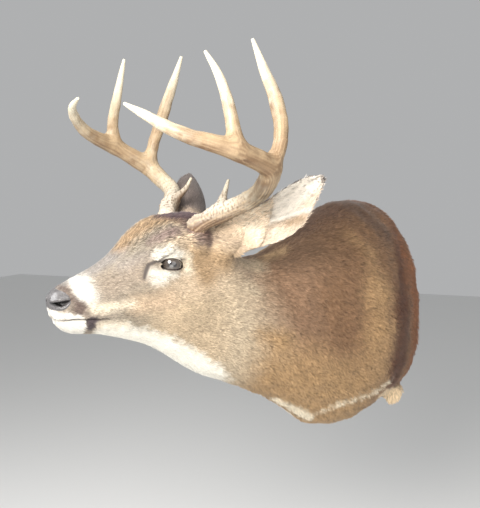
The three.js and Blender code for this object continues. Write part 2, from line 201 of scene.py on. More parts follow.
def middle_line(spacing=2.0):
    """Points at equal steps from nose to wall, and the directions ahead, left and up there."""
    nape = NOSE - AHEAD * HEAD_LENGTH
    t = np.linspace(0, 1, 1001)[:, None]
    handles = (nape, nape - AHEAD * NAPE_PULL, np.array([0, -WALL_PULL, 0]), np.zeros(3))
    curve = sum(
        c * (1 - t) ** (3 - i) * t**i * p for i, (c, p) in enumerate(zip((1, 3, 3, 1), handles))
    )
    run = run_along(curve)
    behind = np.arange(0, HEAD_LENGTH + run[-1], spacing)
    at = read_line(curve, run, np.clip(behind - HEAD_LENGTH, 0, None))
    straight = behind < HEAD_LENGTH
    at[straight] = NOSE - behind[straight, None] * AHEAD
    ahead = units(-np.gradient(at, axis=0))
    left, up = (np.array(d) for d in zip(*(side_and_up(a, b) for a, b in zip(ahead, behind))))
    return behind, at, ahead, left, up


BEHIND, MIDDLE, MID_AHEAD, MID_LEFT, MID_UP = middle_line()
HEAD_AXES = np.stack([-MID_AHEAD[0], MID_LEFT[0], MID_UP[0]])


def on_body(points):
    """Points in metres as behind, side and up in millimetres, and each one's row of that line."""
    points = np.asarray(points, float) / MM
    row = np.empty(len(points), int)
    batch = 20000  # points read at once, to spare memory
    for start in range(0, len(points), batch):
        part = points[start : start + batch]
        apart = (MIDDLE**2).sum(1)[None] - 2 * part @ MIDDLE.T
        row[start : start + batch] = apart.argmin(1)
    off = points - MIDDLE[row]
    behind = BEHIND[row] - (off * MID_AHEAD[row]).sum(1)
    side = (off * MID_LEFT[row]).sum(1)
    up = (off * MID_UP[row]).sum(1)
    return np.stack([behind, side, up], 1), row


def on_head(points):
    """Points in metres in the head's own straight measure, which runs on past the nape."""
    return (np.asarray(points, float) / MM - NOSE) @ HEAD_AXES.T


def head_point(behind, side, up):
    return (NOSE + np.array([behind, side, up], float) @ HEAD_AXES) * MM


def head_direction(ahead, left, up):
    return unit(np.array([-ahead, left, up], float) @ HEAD_AXES)


def both_sides(body):
    """Places on the body with those of its right side brought over to its left."""
    return np.stack([body[:, 0], np.abs(body[:, 1]), body[:, 2]], 1)


def crestward(side, up):
    """From -1 below the middle line to 1 above it."""
    return up / np.maximum(np.hypot(side, up), 1)


# ---------------------------------------------------------------- small tools
def ripple(points, size, seed, waves=12):
    """Smooth noise around 0 with bumps about size across, the same every run."""
    rng = np.random.default_rng(seed)
    way = units(rng.normal(size=(waves, 3)))
    way *= (2 * math.pi / size) * rng.uniform(0.6, 1.4, (waves, 1))
    phase = rng.uniform(0, 2 * math.pi, waves)
    return np.sin(points @ way.T + phase).sum(1) / math.sqrt(waves)


def ripples(points, size, seeds):
    return np.stack([ripple(points, size, seed) for seed in seeds], 1)


def hump(off, reach):
    """1 where off is 0, with a smooth fall to nearly 0 at twice the reach."""
    return np.exp(-((off / reach) ** 2))


def numbers_of(parts, kind, width, form=float):
    """One property of all the corners, edges or triangles of a mesh, a row for each."""
    flat = np.empty(len(parts) * width, form)
    parts.foreach_get(kind, flat)
    return flat.reshape(-1, width)


def corners_of(mesh):
    return numbers_of(mesh.vertices, "co", 3)


def normals_of(mesh):
    return numbers_of(mesh.vertices, "normal", 3)


def move_corners(mesh, points):
    mesh.vertices.foreach_set("co", np.ascontiguousarray(points).ravel())
    mesh.update()


def edges_of(mesh):
    return numbers_of(mesh.edges, "vertices", 2, int)


def averaged(values, edges, times=1, share=1.0):
    """Values on the corners of a mesh, each drawn towards the mean of its neighbours."""
    count = len(values)
    a, b = edges.T
    degree = np.maximum(np.bincount(a, minlength=count) + np.bincount(b, minlength=count), 1)
    values = values.astype(float)
    share = np.broadcast_to(np.asarray(share, float), count)[:, None]
    flat = values.ndim == 1
    if flat:
        values = values[:, None]
    for _ in range(times):
        mean = np.stack(
            [
                np.bincount(a, values[b, k], count) + np.bincount(b, values[a, k], count)
                for k in range(values.shape[1])
            ],
            1,
        )
        values = values + (mean / degree[:, None] - values) * share
    return values[:, 0] if flat else values


def link(mesh, name):
    piece = bpy.data.objects.new(name, mesh)
    scene.collection.objects.link(piece)
    return piece


def dress(mesh, material):
    mesh.materials.clear()
    mesh.materials.append(material)


def smooth(mesh):
    for polygon in mesh.polygons:
        polygon.use_smooth = True


def baked(piece):
    """The piece's mesh with its modifiers applied and removed."""
    bpy.context.view_layer.update()
    whole = piece.evaluated_get(bpy.context.evaluated_depsgraph_get())
    done = bpy.data.meshes.new_from_object(whole)
    piece.modifiers.clear()
    piece.data = done
    return done


def joined_nodes(names, name):
    """One mesh of copies of CAD nodes, their loose triangles merged."""
    bm = bmesh.new()
    for node in names:
        bm.from_mesh(nodes[node].data)
    bmesh.ops.remove_doubles(bm, verts=bm.verts, dist=1e-6)
    mesh = bpy.data.meshes.new(name)
    bm.to_mesh(mesh)
    bm.free()
    return link(mesh, name)


def remesh(piece, size):
    grid = piece.modifiers.new("grid", "REMESH")
    grid.mode = "VOXEL"
    grid.voxel_size = size * MM
    return baked(piece)


def refine(mesh, chosen):
    """Halves the edges of the faces that chosen picks from the faces' centres."""
    bm = bmesh.new()
    bm.from_mesh(mesh)
    centres = np.array([f.calc_center_median() for f in bm.faces])
    pick = chosen(centres)
    faces = [f for f, yes in zip(bm.faces, pick) if yes]
    edges = list({e for f in faces for e in f.edges})
    bmesh.ops.subdivide_edges(bm, edges=edges, cuts=1, use_grid_fill=True)
    bm.to_mesh(mesh)
    bm.free()


def paint(mesh, name, colours):
    """A colour on each corner of the mesh, in linear light."""
    layer = mesh.color_attributes.new(name, "FLOAT_COLOR", "POINT")
    rgba = np.ones((len(mesh.vertices), 4))
    rgba[:, : colours.shape[1]] = colours
    layer.data.foreach_set("color", rgba.ravel())


# ---------------------------------------------------------------- camera, light and floor
def stand_camera():
    data = bpy.data.cameras.new("camera")
    data.lens = CAMERA["lens"]
    data.sensor_width = CAMERA["sensor"]
    camera = bpy.data.objects.new("camera", data)
    camera.location = CAMERA["at"]
    camera.rotation_euler = (math.radians(90 - CAMERA["down"]), 0, math.radians(CAMERA["azimuth"]))
    scene.collection.objects.link(camera)
    scene.camera = camera


FACE = head_point(150, 0, 60)
# The lights: name, place, where it is aimed, size, power and colour.
LIGHTS = (
    ("key", (-0.12, -1.62, 0.62), FACE, 0.6, 31, (1.0, 0.965, 0.92)),
    ("fill", (1.45, -1.55, 0.45), (0, -0.3, 0), 1.6, 11, (1.0, 0.97, 0.94)),
    ("window", (-1.30, -1.12, 0.80), FACE, 0.9, 13, (0.97, 0.985, 1.0)),
    ("low", (0.5, -1.7, -0.55), (0, -0.4, -0.05), 1.2, 11, (1.0, 0.96, 0.9)),
    ("top", (-0.3, -0.5, 1.6), (-0.1, -0.35, 0.1), 1.2, 9, (1.0, 0.99, 0.97)),
)
AROUND = {"colour": (0.86, 0.87, 0.88, 1), "strength": 0.5}


def area_light(name, at, towards, size, power, colour):
    data = bpy.data.lights.new(name, "AREA")
    data.shape = "DISK"
    data.size = size
    data.energy = power
    data.color = colour
    light = bpy.data.objects.new(name, data)
    light.location = at
    light.rotation_euler = (Vector(towards) - Vector(at)).to_track_quat("-Z", "Y").to_euler()
    scene.collection.objects.link(light)


def light_studio():
    scene.view_settings.view_transform = "Standard"
    for light in LIGHTS:
        area_light(*light)
    world = bpy.data.worlds.new("studio")
    scene.world = world
    world.use_nodes = True
    backdrop = world.node_tree.nodes["Background"]
    backdrop.inputs["Color"].default_value = AROUND["colour"]
    backdrop.inputs["Strength"].default_value = AROUND["strength"]


def lay_floor():
    half, low = FLOOR["half"], cad_box[0][2] - FLOOR["below"]
    mesh = bpy.data.meshes.new("floor")
    corners = [(x * half, y * half, low) for x, y in ((-1, -1), (1, -1), (1, 1), (-1, 1))]
    mesh.from_pydata(corners, [], [(0, 1, 2, 3)])
    floor = link(mesh, "floor")
    material, _, _ = plain("pale floor", (0.78, 0.78, 0.77), 0.8)
    dress(mesh, material)


# ---------------------------------------------------------------- materials
def plain(name, colour, roughness, **sockets):
    """A material with one Principled surface, and its node tree and surface node."""
    material = bpy.data.materials.new(name)
    material.use_nodes = True
    tree = material.node_tree
    surface = tree.nodes["Principled BSDF"]
    surface.inputs["Base Color"].default_value = (*colour, 1)
    surface.inputs["Roughness"].default_value = roughness
    for socket, value in sockets.items():
        surface.inputs[socket.replace("_", " ")].default_value = value
    return material, tree, surface


def node(tree, kind, inputs=(), **settings):
    made = tree.nodes.new(kind)
    for key, value in settings.items():
        setattr(made, key, value)
    for key, value in dict(inputs).items():
        if isinstance(value, bpy.types.NodeSocket):
            tree.links.new(value, made.inputs[key])
        else:
            made.inputs[key].default_value = value
    return made


def noise(tree, vector, scale, detail=3.0, roughness=0.55):
    """Noise from 0 to 1."""
    inputs = {"Vector": vector, "Scale": scale, "Detail": detail, "Roughness": roughness}
    return node(tree, "ShaderNodeTexNoise", inputs).outputs["Fac"]


def blend_colour(tree, factor, low, high, kind="MIX"):
    made = node(tree, "ShaderNodeMix", data_type="RGBA", blend_type=kind)
    open_inputs = [s for s in made.inputs if s.type in ("VALUE", "RGBA") and s.enabled]
    for key, value in (("Factor", factor), ("A", low), ("B", high)):
        socket = next(s for s in open_inputs if s.name == key)
        if isinstance(value, bpy.types.NodeSocket):
            tree.links.new(value, socket)
        else:
            socket.default_value = value if key == "Factor" else (*value, 1)
    return next(s for s in made.outputs if s.enabled)


def painted(tree, layer):
    """The colours painted on the corners."""
    return node(tree, "ShaderNodeVertexColor", layer_name=layer).outputs["Color"]


def tint(tree, surface, colour, shade):
    tree.links.new(blend_colour(tree, 1.0, colour, shade, "MULTIPLY"), surface.inputs["Base Color"])


def object_place(tree):
    return node(tree, "ShaderNodeTexCoord").outputs["Object"]


def bump(tree, surface, height, strength, distance):
    inputs = {"Height": height, "Strength": strength, "Distance": distance}
    made = node(tree, "ShaderNodeBump", inputs)
    tree.links.new(made.outputs["Normal"], surface.inputs["Normal"])


def coat_material():
    sheen = {"Specular_IOR_Level": 0.28, "Sheen_Weight": 0.15, "Sheen_Roughness": 0.5}
    material, tree, surface = plain("deer coat", (0.3, 0.2, 0.12), 0.62, **sheen)
    tree.links.new(painted(tree, "coat"), surface.inputs["Base Color"])
    return material


def skin_material():
    matt = {"Specular_IOR_Level": 0.25}
    material, tree, surface = plain("short coat and hide", (0.3, 0.2, 0.12), 0.7, **matt)
    grain = noise(tree, object_place(tree), 900.0, 4.0)
    shade = blend_colour(tree, grain, (0.62, 0.6, 0.58), (1.1, 1.1, 1.1))
    tint(tree, surface, painted(tree, "coat"), shade)
    bump(tree, surface, grain, 0.5, 0.0006)
    return material


# ---------------------------------------------------------------- the ears' own measure
def ear_axes(hand):
    """The foot of an ear, and the directions to its tip, across it and out of its opening."""
    form = EARS[hand]
    base = head_point(*form["base"])
    point = head_direction(*form["point"])
    opening = head_direction(*form["open"])
    opening = unit(opening - point * opening.dot(point))
    return base, np.stack([point, np.cross(opening, point), opening])


def on_ear(points, hand):
    """How far points are along the ear, towards its lower edge and out of its opening, and a weight
    that is 1 on the ear and 0 off it."""
    base, axes = ear_axes(hand)
    along, across, deep = ((points - base) / MM @ axes.T).T
    share = along / EAR_LENGTH
    weight = step(0.02, 0.17, share) * fall(62, 78, np.hypot(across, deep))
    low = -hand * across - EARS[hand]["sway"] * np.sin(math.pi * np.clip(share, 0, 1)) ** 2
    return share, low, deep, weight


def inner_ear(share, low, deep, normals, hand):
    """1 in the hollow of the ear and 0 on its back."""
    _, axes = ear_axes(hand)
    facing = normals @ axes.T
    off = deep - np.interp(share, (0.2, 0.35, 0.5, 1), (8, 12, 15, 19))
    inwards = hand * facing[:, 1] * low - facing[:, 2] * off
    inwards /= np.maximum(np.hypot(low, off), 1)
    return step(0.14, 0.26, share) * step(-0.15, 0.15, inwards)


def ear_fold(share):
    """Where the hollow's long fold runs across the ear, and how fully it is there."""
    at = np.interp(share, (0.36, 0.54, 0.66, 0.76), (2, 9, 16, 27))
    return at, step(0.34, 0.42, share) * fall(0.72, 0.8, share)


def past_arc(share, low):
    """How far past the front edge of the hollow, where the butt ends, in millimetres."""
    return (share - (0.375 - 0.0047 * low)) * EAR_LENGTH


# ---------------------------------------------------------------- colours of the coat
COATS = {
    "muzzle": (0.335, 0.285, 0.23),
    "bridge": (0.27, 0.245, 0.222),
    "face": (0.25, 0.215, 0.165),
    "cheek": (0.58, 0.45, 0.315),
    "fawn": (0.49, 0.37, 0.255),
    "temple": (0.385, 0.265, 0.152),
    "jaw": (0.50, 0.39, 0.262),
    "neck": (0.225, 0.135, 0.08),
    "neck front": (0.455, 0.372, 0.265),
    "neck low": (0.35, 0.222, 0.108),
    # dark hair along the top of the neck and shoulders, deepened by painted shade where the body
    # turns away at its top
    "dark crest and shade": (0.105, 0.058, 0.037),
    "shoulder": (0.205, 0.115, 0.06),
    # a painted highlight, in golden tan, on the bulge of the shoulder
    "golden highlight": (0.395, 0.248, 0.122),
    # painted shade in the crease behind the shoulder
    "groove": (0.098, 0.036, 0.016),
    "rear": (0.24, 0.10, 0.044),
    "hem": (0.82, 0.73, 0.565),
    "flap": (0.72, 0.555, 0.36),
    "nape": (0.50, 0.335, 0.18),
    "white": (0.76, 0.735, 0.67),
    "throat": (0.9, 0.87, 0.775),
    "eye white": (0.66, 0.62, 0.54),
    "tear": (0.062, 0.052, 0.05),
    "speckle": (0.29, 0.235, 0.18),
    "cream": (0.68, 0.59, 0.455),
    "band": (0.135, 0.10, 0.085),
    "lips": (0.035, 0.028, 0.028),
    "mouth": (0.06, 0.046, 0.05),
    "brow": (0.20, 0.145, 0.125),
    "rust": (0.325, 0.222, 0.128),
    "crown": (0.079, 0.043, 0.047),
    "burr hair": (0.135, 0.085, 0.07),
    "ear back": (0.143, 0.113, 0.10),
    "ear inside": (0.75, 0.61, 0.475),
    # white hair, lightened further as painted light
    "ear white and painted light": (0.90, 0.85, 0.76),
    "ear patch": (0.42, 0.31, 0.21),
    "ear butt": (0.68, 0.53, 0.38),
    # pale down, also used for a painted highlight on the butt
    "ear down and highlight": (0.84, 0.78, 0.64),
    "ear shadow": (0.27, 0.205, 0.145),
}

# Marks on both sides of the head: colour, from, to, reach at each end, softness of the edge.
MARKS = (
    ("bridge", (26, 0, 72), (118, 0, 118), 12, 19, 7),
    # A soft bluish grey on the upper side of the face in front of the eye: grey hair and a painted
    # sheen.
    ("bridge", (112, 32, 98), (150, 43, 106), 13, 12, 11),
    ("speckle", (95, 34, 75), (150, 50, 95), 20, 20, 22),
    ("temple", (228, 62, 114), (250, 64, 74), 16, 20, 16),
    ("temple", (250, 62, 102), (288, 66, 92), 20, 20, 18),
    ("fawn", (130, 45, 36), (178, 58, 40), 15, 18, 16),
    ("cream", (60, 31, 39), (86, 33, 36), 8, 6, 9),
    ("cream", (86, 33, 37), (122, 40, 39), 4, 6, 10),
    ("cream", (76, 30, 6), (112, 36, 0), 8, 12, 7),
    ("white", (43, 6, 80), (45, 24, 62), 8, 11, 6),
    ("white", (54, 12, 82), (58, 28, 57), 7, 10, 13),
    ("band", (20, 5, 74), (27, 14, 69), 4, 4, 4),
    ("band", (27, 14, 69), (31, 22, 58), 4, 5, 4),
    ("band", (36, 25, 55), (42, 27, 43), 5, 9, 6),
    ("band", (41, 28, 42), (54, 30, 30), 7, 2, 9),
    ("band", (29, 23, 44), (38, 27, 36), 4, 6, 4),
    ("white", (0, 8, 36), (22, 24, 34), 9, 6, 3),
    ("white", (22, 24, 31), (42, 29, 27), 5, 3, 3),
    ("eye white", (154, 55, 88), (190, 65, 84), 8, 7, 8),
    ("eye white", (156, 57, 76), (170, 61, 77), 6, 7, 9),
    ("eye white", (161, 51, 117), (176, 59, 119), 6, 7, 8),
    ("eye white", (178, 60, 120), (203, 68, 112), 8, 6, 9),
    ("eye white", (166, 57, 112), (200, 67, 112), 7, 7, 4),
    ("cream", (213, 66, 110), (214, 66, 86), 6, 8, 8),
    ("brow", (150, 38, 134), (195, 52, 151), 6, 10, 8),
    ("brow", (233, 61, 136), (252, 61, 128), 7, 7, 8),
    ("brow", (216, 40, 155), (222, 52, 145), 7, 6, 6),
    ("rust", (124, 0, 122), (206, 10, 166), 13, 26, 12),
    ("crown", (222, 0, 172), (300, 0, 165), 36, 42, 12),
    ("burr hair", (228, 44, 150), (262, 72, 138), 13, 12, 9),
)
# The dark lines at the lids' corners and down to the tear pit, in strokes: from, to, half widths.
TEAR_EDGE = 2.5  # how soft their edges are
TEAR = (
    ((187, 0, 117), (171, 0, 110), 0.5, 2.4),
    ((177, 0, 106), (162, 0, 106), 4.4, 2.9),
    ((162, 0, 106), (151, 0, 101), 2.9, 3.2),
    ((151, 0, 101), (147, 0, 91), 3.2, 3.5),
    ((147, 0, 91), (144, 0, 80), 3.5, 2.4),
    ((203, 0, 105.5), (211, 0, 104.5), 1.9, 0.8),
)

# Marks on both sides of the neck and shoulders, the same way. Some of them paint light and shade:
# shade in the groove behind the shoulder and along the crest, and a highlight on the shoulder's
# bulge.
BODY_MARKS = (
    # Dark hair along the top, deepened by painted shade along the top outline.
    ("dark crest and shade", (470, 0, 160), (700, 0, 222), 40, 64, 32),
    ("dark crest and shade", (385, 0, 95), (470, 0, 160), 10, 42, 22),
    ("jaw", (346, 46, 88), (372, 34, 74), 20, 22, 14),
    ("nape", (403, 20, 80), (434, 24, 92), 9, 10, 11),
    # Dark hair and painted shade high on the shoulder, above the groove.
    ("dark crest and shade", (622, 58, 180), (662, 92, 142), 12, 15, 22),
    ("neck low", (354, 80, -42), (402, 84, -62), 8, 20, 22),
    ("neck front", (328, 64, 42), (344, 70, 32), 9, 9, 15),
    ("shoulder", (512, 100, 20), (530, 108, -55), 34, 34, 26),
    # A golden tan band down the front of the shoulder: a painted highlight on its bulge.
    ("golden highlight", (556, 66, 134), (596, 98, 108), 2, 5, 27),
    ("golden highlight", (594, 108, 90), (600, 116, 30), 10, 24, 32),
    ("golden highlight", (600, 116, 30), (604, 120, -50), 24, 27, 30),
    ("golden highlight", (604, 120, -50), (618, 116, -140), 27, 22, 28),
    # Painted shade along the crease behind the shoulder, which the creases below also sink.
    ("groove", (712, 92, 185), (688, 114, 110), 12, 18, 15),
    ("groove", (688, 114, 110), (664, 132, 0), 18, 21, 13),
    ("groove", (664, 132, 0), (671, 130, -120), 21, 22, 12),
    ("groove", (671, 130, -120), (682, 116, -168), 22, 14, 10),
    ("hem", (450, 23, -194), (536, 26, -230), 11, 17, 9),
    ("hem", (545, 50, -220), (577, 76, -196), 3, 4, 9),
    ("hem", (577, 76, -196), (641, 106, -174), 4, 4, 9),
    ("hem", (641, 106, -174), (660, 114, -158), 4, 5, 7),
)
FLAP_MARK = ((672, 100, -192), (715, 106, -205), 15, 26, 6)
MOUTH_CORNER = ((58, 30, 18), (57, 27, 4), 8.5, 5.5, 3.2)
MOUTH_LINE = ((60, 30, 19), (86, 33, 17), 4.5, 1.2, 2)
HEAD_MARKS_END = 340  # how far behind the nose the head's marks may reach
# How far behind the nose, and how high the white of the throat reaches there.
THROAT_EDGE = ((60, 90, 120, 165, 204, 254, 300, 340), (7, 7, 2, -14, -34, -69, -109, -147))


def by_eyes(place):
    """Where the tear lines are."""
    return (place[:, 0] > 135) & (place[:, 0] < 216) & (np.abs(place[:, 1]) > 25)


def tear_line(place):
    """1 on the dark lines at the lids' corners."""
    place = place * (1, 0, 1)
    line = np.zeros(len(place))
    for form in TEAR:
        line = np.maximum(line, stroke(place, *form, TEAR_EDGE))
    return line


def stroke(place, start, end, start_reach, end_reach, soft):
    """1 inside a rounded stroke from start to end and 0 past its soft edge."""
    start, end = np.array(start, float), np.array(end, float)
    way = end - start
    along = np.clip((place - start) @ way / max(way @ way, 1e-9), 0, 1)
    apart = np.linalg.norm(place - start - along[:, None] * way, axis=1)
    return fall(-soft, soft, apart - start_reach - (end_reach - start_reach) * along)


def coat_of(name, count):
    return np.tile(np.array(COATS[name]), (count, 1))


def lay(colour, name, weight, where=slice(None)):
    """Blends one of the coat's colours into those of all the points, or of some."""
    colour[where] += (np.array(COATS[name]) - colour[where]) * weight[:, None]


def coat_colour(points, normals, body):
    """The coat's colour in linear light at points whose places on the body are known."""
    fine = ripples(body, 6, (11, 12, 13)) * 1.1
    broad = ripples(body, 17, (1, 2, 3)) * 2.6
    rough, neat, exact = both_sides(body + fine + broad), both_sides(body + fine), both_sides(body)
    colour = coat_of("muzzle", len(body))
    lay_grounds(colour, rough)
    head = rough[:, 0] < HEAD_MARKS_END
    for name, *form in MARKS:
        lay(colour, name, stroke(neat[head], *form), head)
    behind, _, up = rough.T
    throat = fall(-17, 10, up - np.interp(behind, *THROAT_EDGE))
    lay(colour, "throat", throat * step(58, 72, behind) * fall(285, 350, behind))
    lip = neat[:, 2] - lip_line(neat[:, 0])
    lay(colour, "white", fall(-2, 0.5, lip) * fall(48, 51, neat[:, 0]))
    lay(colour, "mouth", stroke(neat, *MOUTH_CORNER))
    lay(colour, "mouth", stroke(exact, *MOUTH_LINE))
    true_lip = exact[:, 2] - lip_line(exact[:, 0])
    lay(colour, "lips", hump(true_lip, 1.25) * fall(82, 96, exact[:, 0]) * 0.92)
    near = by_eyes(exact)
    lay(colour, "tear", tear_line(exact[near]) * 0.92, near)
    shade_eyes(points, colour)
    shade_ears(points, normals, colour)
    return colour


def lay_grounds(colour, place):
    """The broad colours from nose to shoulders, and the marks on them."""
    behind, side, up = place.T
    lay(colour, "face", step(50, 130, behind))
    lay(colour, "cheek", step(130, 235, behind) * step(30, 60, side))
    lay(colour, "jaw", step(110, 200, behind) * fall(20, 60, up))
    lay(colour, "neck front", step(245, 330, behind))
    lay(colour, "neck", step(300, 430, behind + 0.45 * up))
    lay(colour, "shoulder", step(440, 600, behind + 0.2 * up))
    under = fall(-0.95, -0.35, crestward(side, up))
    lay(colour, "neck low", step(305, 400, behind) * under * fall(610, 680, behind))
    for name, *form in BODY_MARKS:
        lay(colour, name, stroke(place, *form) * 0.9)
    lay(colour, "rear", step(680, 714, behind + 0.1 * up) * (1 - 0.6 * step(60, 170, up)))
    lay(colour, "flap", stroke(place, *FLAP_MARK))


def shade_eyes(points, colour):
    """Darkens the bare rims of the lids, and a wider band under the upper lid as its painted
    shadow.
    """
    for hand in SIDES:
        front, above, out = on_eye(points, hand)
        near = (np.hypot(front, above) < 32) & (out > -8) & (out < 30)
        outside, _ = from_lids(front[near], above[near])
        # The rims' own dark skin, widened along the upper lid as a painted shadow of the lid.
        rim = fall(-0.4, 0.5, outside + 0.1 - 1.2 * step(0, 6, above[near]))
        lay(colour, "lips", rim, near)


def shade_ears(points, normals, colour):
    """Lays on the ears' backs, and their hollows with the long fold, the butt and the dark tip,
    with painted highlights and painted shadows on the fold and the butt.
    """
    for hand in SIDES:
        share, low, deep, weight = on_ear(points, hand)
        near = weight > 0
        share, low, deep = share[near], low[near], deep[near]
        inner = inner_ear(share, low, deep, normals[near], hand)
        share = share + ripple(points[near] / MM, 9, 31) * 0.02
        back = coat_of("ear back", len(share))
        lay(back, "ear butt", fall(0.06, 0.26, share))
        lay(back, "ear butt", fall(0.3, 0.42, share) * step(-6, 4, deep))
        streaks = ripple(np.stack([share * 60, low, deep], 1), 4.5, 32)
        strands = ripple(np.stack([share * 90, low * 1.6, deep], 1), 4.0, 33)
        past = past_arc(share, low)
        front = coat_of("ear inside", len(share))
        # White hair in the upper part of the hollow, lightened further as painted light where the
        # hollow turns away from the lamps.
        lay(front, "ear white and painted light", step(0.2, 0.32, share) * fall(4, 14, low) * 0.8)
        front *= (1 - 0.3 * step(0.3, 1.3, streaks) * step(0.25, 0.4, share))[:, None]
        lay(front, "ear shadow", hump(past - 3, 5) * (0.75 - 0.25 * step(-10, 20, low)))
        fold_at, held = ear_fold(share)
        under_fold = hump(low - fold_at - 6, 2.6) * held * fall(0.5, 0.62, share)
        lay(front, "ear shadow", under_fold * 0.6)
        # White along the crest of the fold: white hair and a painted highlight.
        lay(front, "ear white and painted light", hump(low - fold_at, 3.4) * held)
        lobe = np.exp(-(((share - 0.56) / 0.12) ** 2 + ((low - fold_at - 14) / 7) ** 2))
        lay(front, "ear patch", np.clip(lobe * (1.15 + 0.25 * streaks), 0, 1))
        lay(front, "ear back", step(0.74, 0.95, share) * np.clip(0.12 + 0.4 * streaks, 0, 0.6))
        lay(front, "ear back", step(0.95, 0.995, share) * 0.75)
        butt = coat_of("ear butt", len(share))
        # A painted highlight, in pale down, on the round of the butt.
        lay(butt, "ear down and highlight", np.exp(-(((share - 0.2) / 0.075) ** 2 + ((low - 5) / 13) ** 2)))
        lay(butt, "ear down and highlight", 0.85 * step(0.1, 1.1, strands) * step(0.1, 0.2, share))
        lay(butt, "ear shadow", 0.75 * step(0.5, 1.3, streaks) * fall(-14, 2, low))
        front += (butt - front) * fall(-4, 2, past + 1.5 * strands)[:, None]
        ear = back + (front - back) * inner[:, None]
        colour[near] += (ear - colour[near]) * weight[near][:, None]


# ---------------------------------------------------------------- the skin
FLESH = ("head", "nose_pad", "lower_jaw", "neck", "shoulders")


def coat_depth(body):
    """How deep the hair stands over the skin, in millimetres."""
    behind, _, up = body.T
    depth = 0.9 + 0.5 * step(60, 150, behind)
    depth += 3.2 * step(112, 124, behind) * step(105, 130, up) * fall(280, 330, behind)
    depth += 1.3 * step(255, 360, behind) + 0.6 * step(470, 600, behind)
    depth += 1.0 * step(120, 260, behind) * fall(-30, 30, up)
    return depth


# Rings round the opening between the lids: how far outside it, reach and height.
LID_RIM = (0.8, 0.9, 0.7)
LID_FOLD = (5.5, 1.3, 0.4)  # the same, sunk
# Hollows in front of the eye: ahead of its centre and above it, reach both ways, and depth.
TEAR_DUCT = (24, -3, 9, 2.4, 2.6)
TEAR_PIT = (38, -14, 6, 9, 1.6)
BEHIND_GLASS = 4.5  # how far under the glass the skin runs
LID_POWERS = {"front": 3.0, "rear": 3.6, "bottom": 1.8}  # how square each part of the opening is


def eye_axes(hand):
    """The eye's centre in metres, and its own directions: to the front, up and out."""
    centre = head_point(EYE["behind"], hand * EYE["side"], EYE["up"])
    ahead, out, up = EYE_FACING
    facing = head_direction(ahead, hand * out, up)
    front = head_direction(1, 0, 0.1)
    front = unit(front - facing * front.dot(facing))
    above = np.cross(facing, front) * hand
    return centre, np.stack([front, above, facing])


def on_eye(points, hand):
    """How far points are to the front of the eye's centre, above it and out from it."""
    centre, axes = eye_axes(hand)
    return ((points - centre) / MM @ axes.T).T


def from_lids(front, above):
    """How far a point is outside the opening between the lids, negative inside it."""
    long_half = np.where(front > 0, LID_OPENING["front"], LID_OPENING["rear"])
    tall_half = np.where(above > 0, LID_OPENING["top"], LID_OPENING["bottom"])
    top_power = np.where(front > 0, LID_POWERS["front"], LID_POWERS["rear"])
    power = np.where(above > 0, top_power, LID_POWERS["bottom"])
    share = (np.abs(front / long_half) ** power + np.abs(above / tall_half) ** power) ** (1 / power)
    away = np.hypot(front, above)
    return away * (1 - 1 / np.maximum(share, 1e-3)), away


def shape_eyes(points):
    """Draws the skin over the eyeball as lids, with an opening and the fold in front of it."""
    for hand in SIDES:
        facing = eye_axes(hand)[1][2]
        front, above, out = on_eye(points, hand)
        near = (np.hypot(front, above) < 45) & (out > -8) & (out < 40)
        front, above, out = front[near], above[near], out[near]
        outside, away = from_lids(front, above)
        radius = EYE["radius"]
        ball = np.sqrt(np.maximum(radius**2 - away**2, 0))
        lid = np.sqrt(np.maximum((radius + LID_OPENING["thick"]) ** 2 - away**2, 0))
        lid = np.maximum(lid, out - 1.5)
        hugging = fall(1.5, 14, outside)
        height = out + (lid - out) * hugging
        at, reach, tall = LID_RIM
        fold_at, fold_reach, fold_deep = LID_FOLD
        fold = hump(outside - fold_at, fold_reach) * step(0, 5, above)
        height += tall * hump(outside - at, reach) - fold_deep * fold
        inside = fall(-1.3, 0.4, outside)
        height = height * (1 - inside) + (ball - BEHIND_GLASS) * inside
        for (ahead, up, long, tall, deep), slope in ((TEAR_DUCT, 0.35), (TEAR_PIT, 0)):
            apart = np.hypot((front - ahead) / long, (above - up + (front - 18) * slope) / tall)
            height -= deep * hump(apart, 1)
        points[near] += ((height - out) * MM)[:, None] * facing
    return points


NOSTRIL = {
    "front": 2.0, "rear": 30.0, "up": 53.5, "rise": 3.2,
    "above": 2.0, "below": 7.6, "deep": 8.0,
}
LEATHER = {
    "behind": 9.0, "long": 21.0, "up": 57.0, "tall": 15.5,
    "proud": 0.9, "sunk": 0.3, "thick": 0.9,
}
LEATHER_END = 40  # how far behind the nose it may reach


def nostril_gap(behind, up):
    """How far into the nostril's opening a place is: above 0 inside it, below 0 outside."""
    t = np.clip((behind - NOSTRIL["front"]) / (NOSTRIL["rear"] - NOSTRIL["front"]), 0, 1)
    middle = NOSTRIL["up"] + NOSTRIL["rise"] * t
    upper = middle + NOSTRIL["above"] * np.sin(math.pi * t)
    lower = middle - NOSTRIL["below"] * np.sin(math.pi * t) ** 0.8
    return np.minimum(upper - up, up - lower)


LIPS = {"up": 25.3, "slope": 0.13, "level_to": 30}
# Across the lips: how far above their line, reach, and how far they stand out.
LIP_RELIEF = ((0, 1.15, -2.4), (4.5, 3.0, 0.9), (-3.0, 3.2, -1.3))


def lip_line(behind):
    return LIPS["up"] - LIPS["slope"] * np.clip(behind - LIPS["level_to"], 0, None)


def leather_edge(head):
    """Below 1 on the bare nose leather and above 1 on the hair round it."""
    behind, _, up = head.T
    along = np.clip(behind - LEATHER["behind"], 0, None) / LEATHER["long"]
    return np.hypot(along, (up - LEATHER["up"]) / LEATHER["tall"])


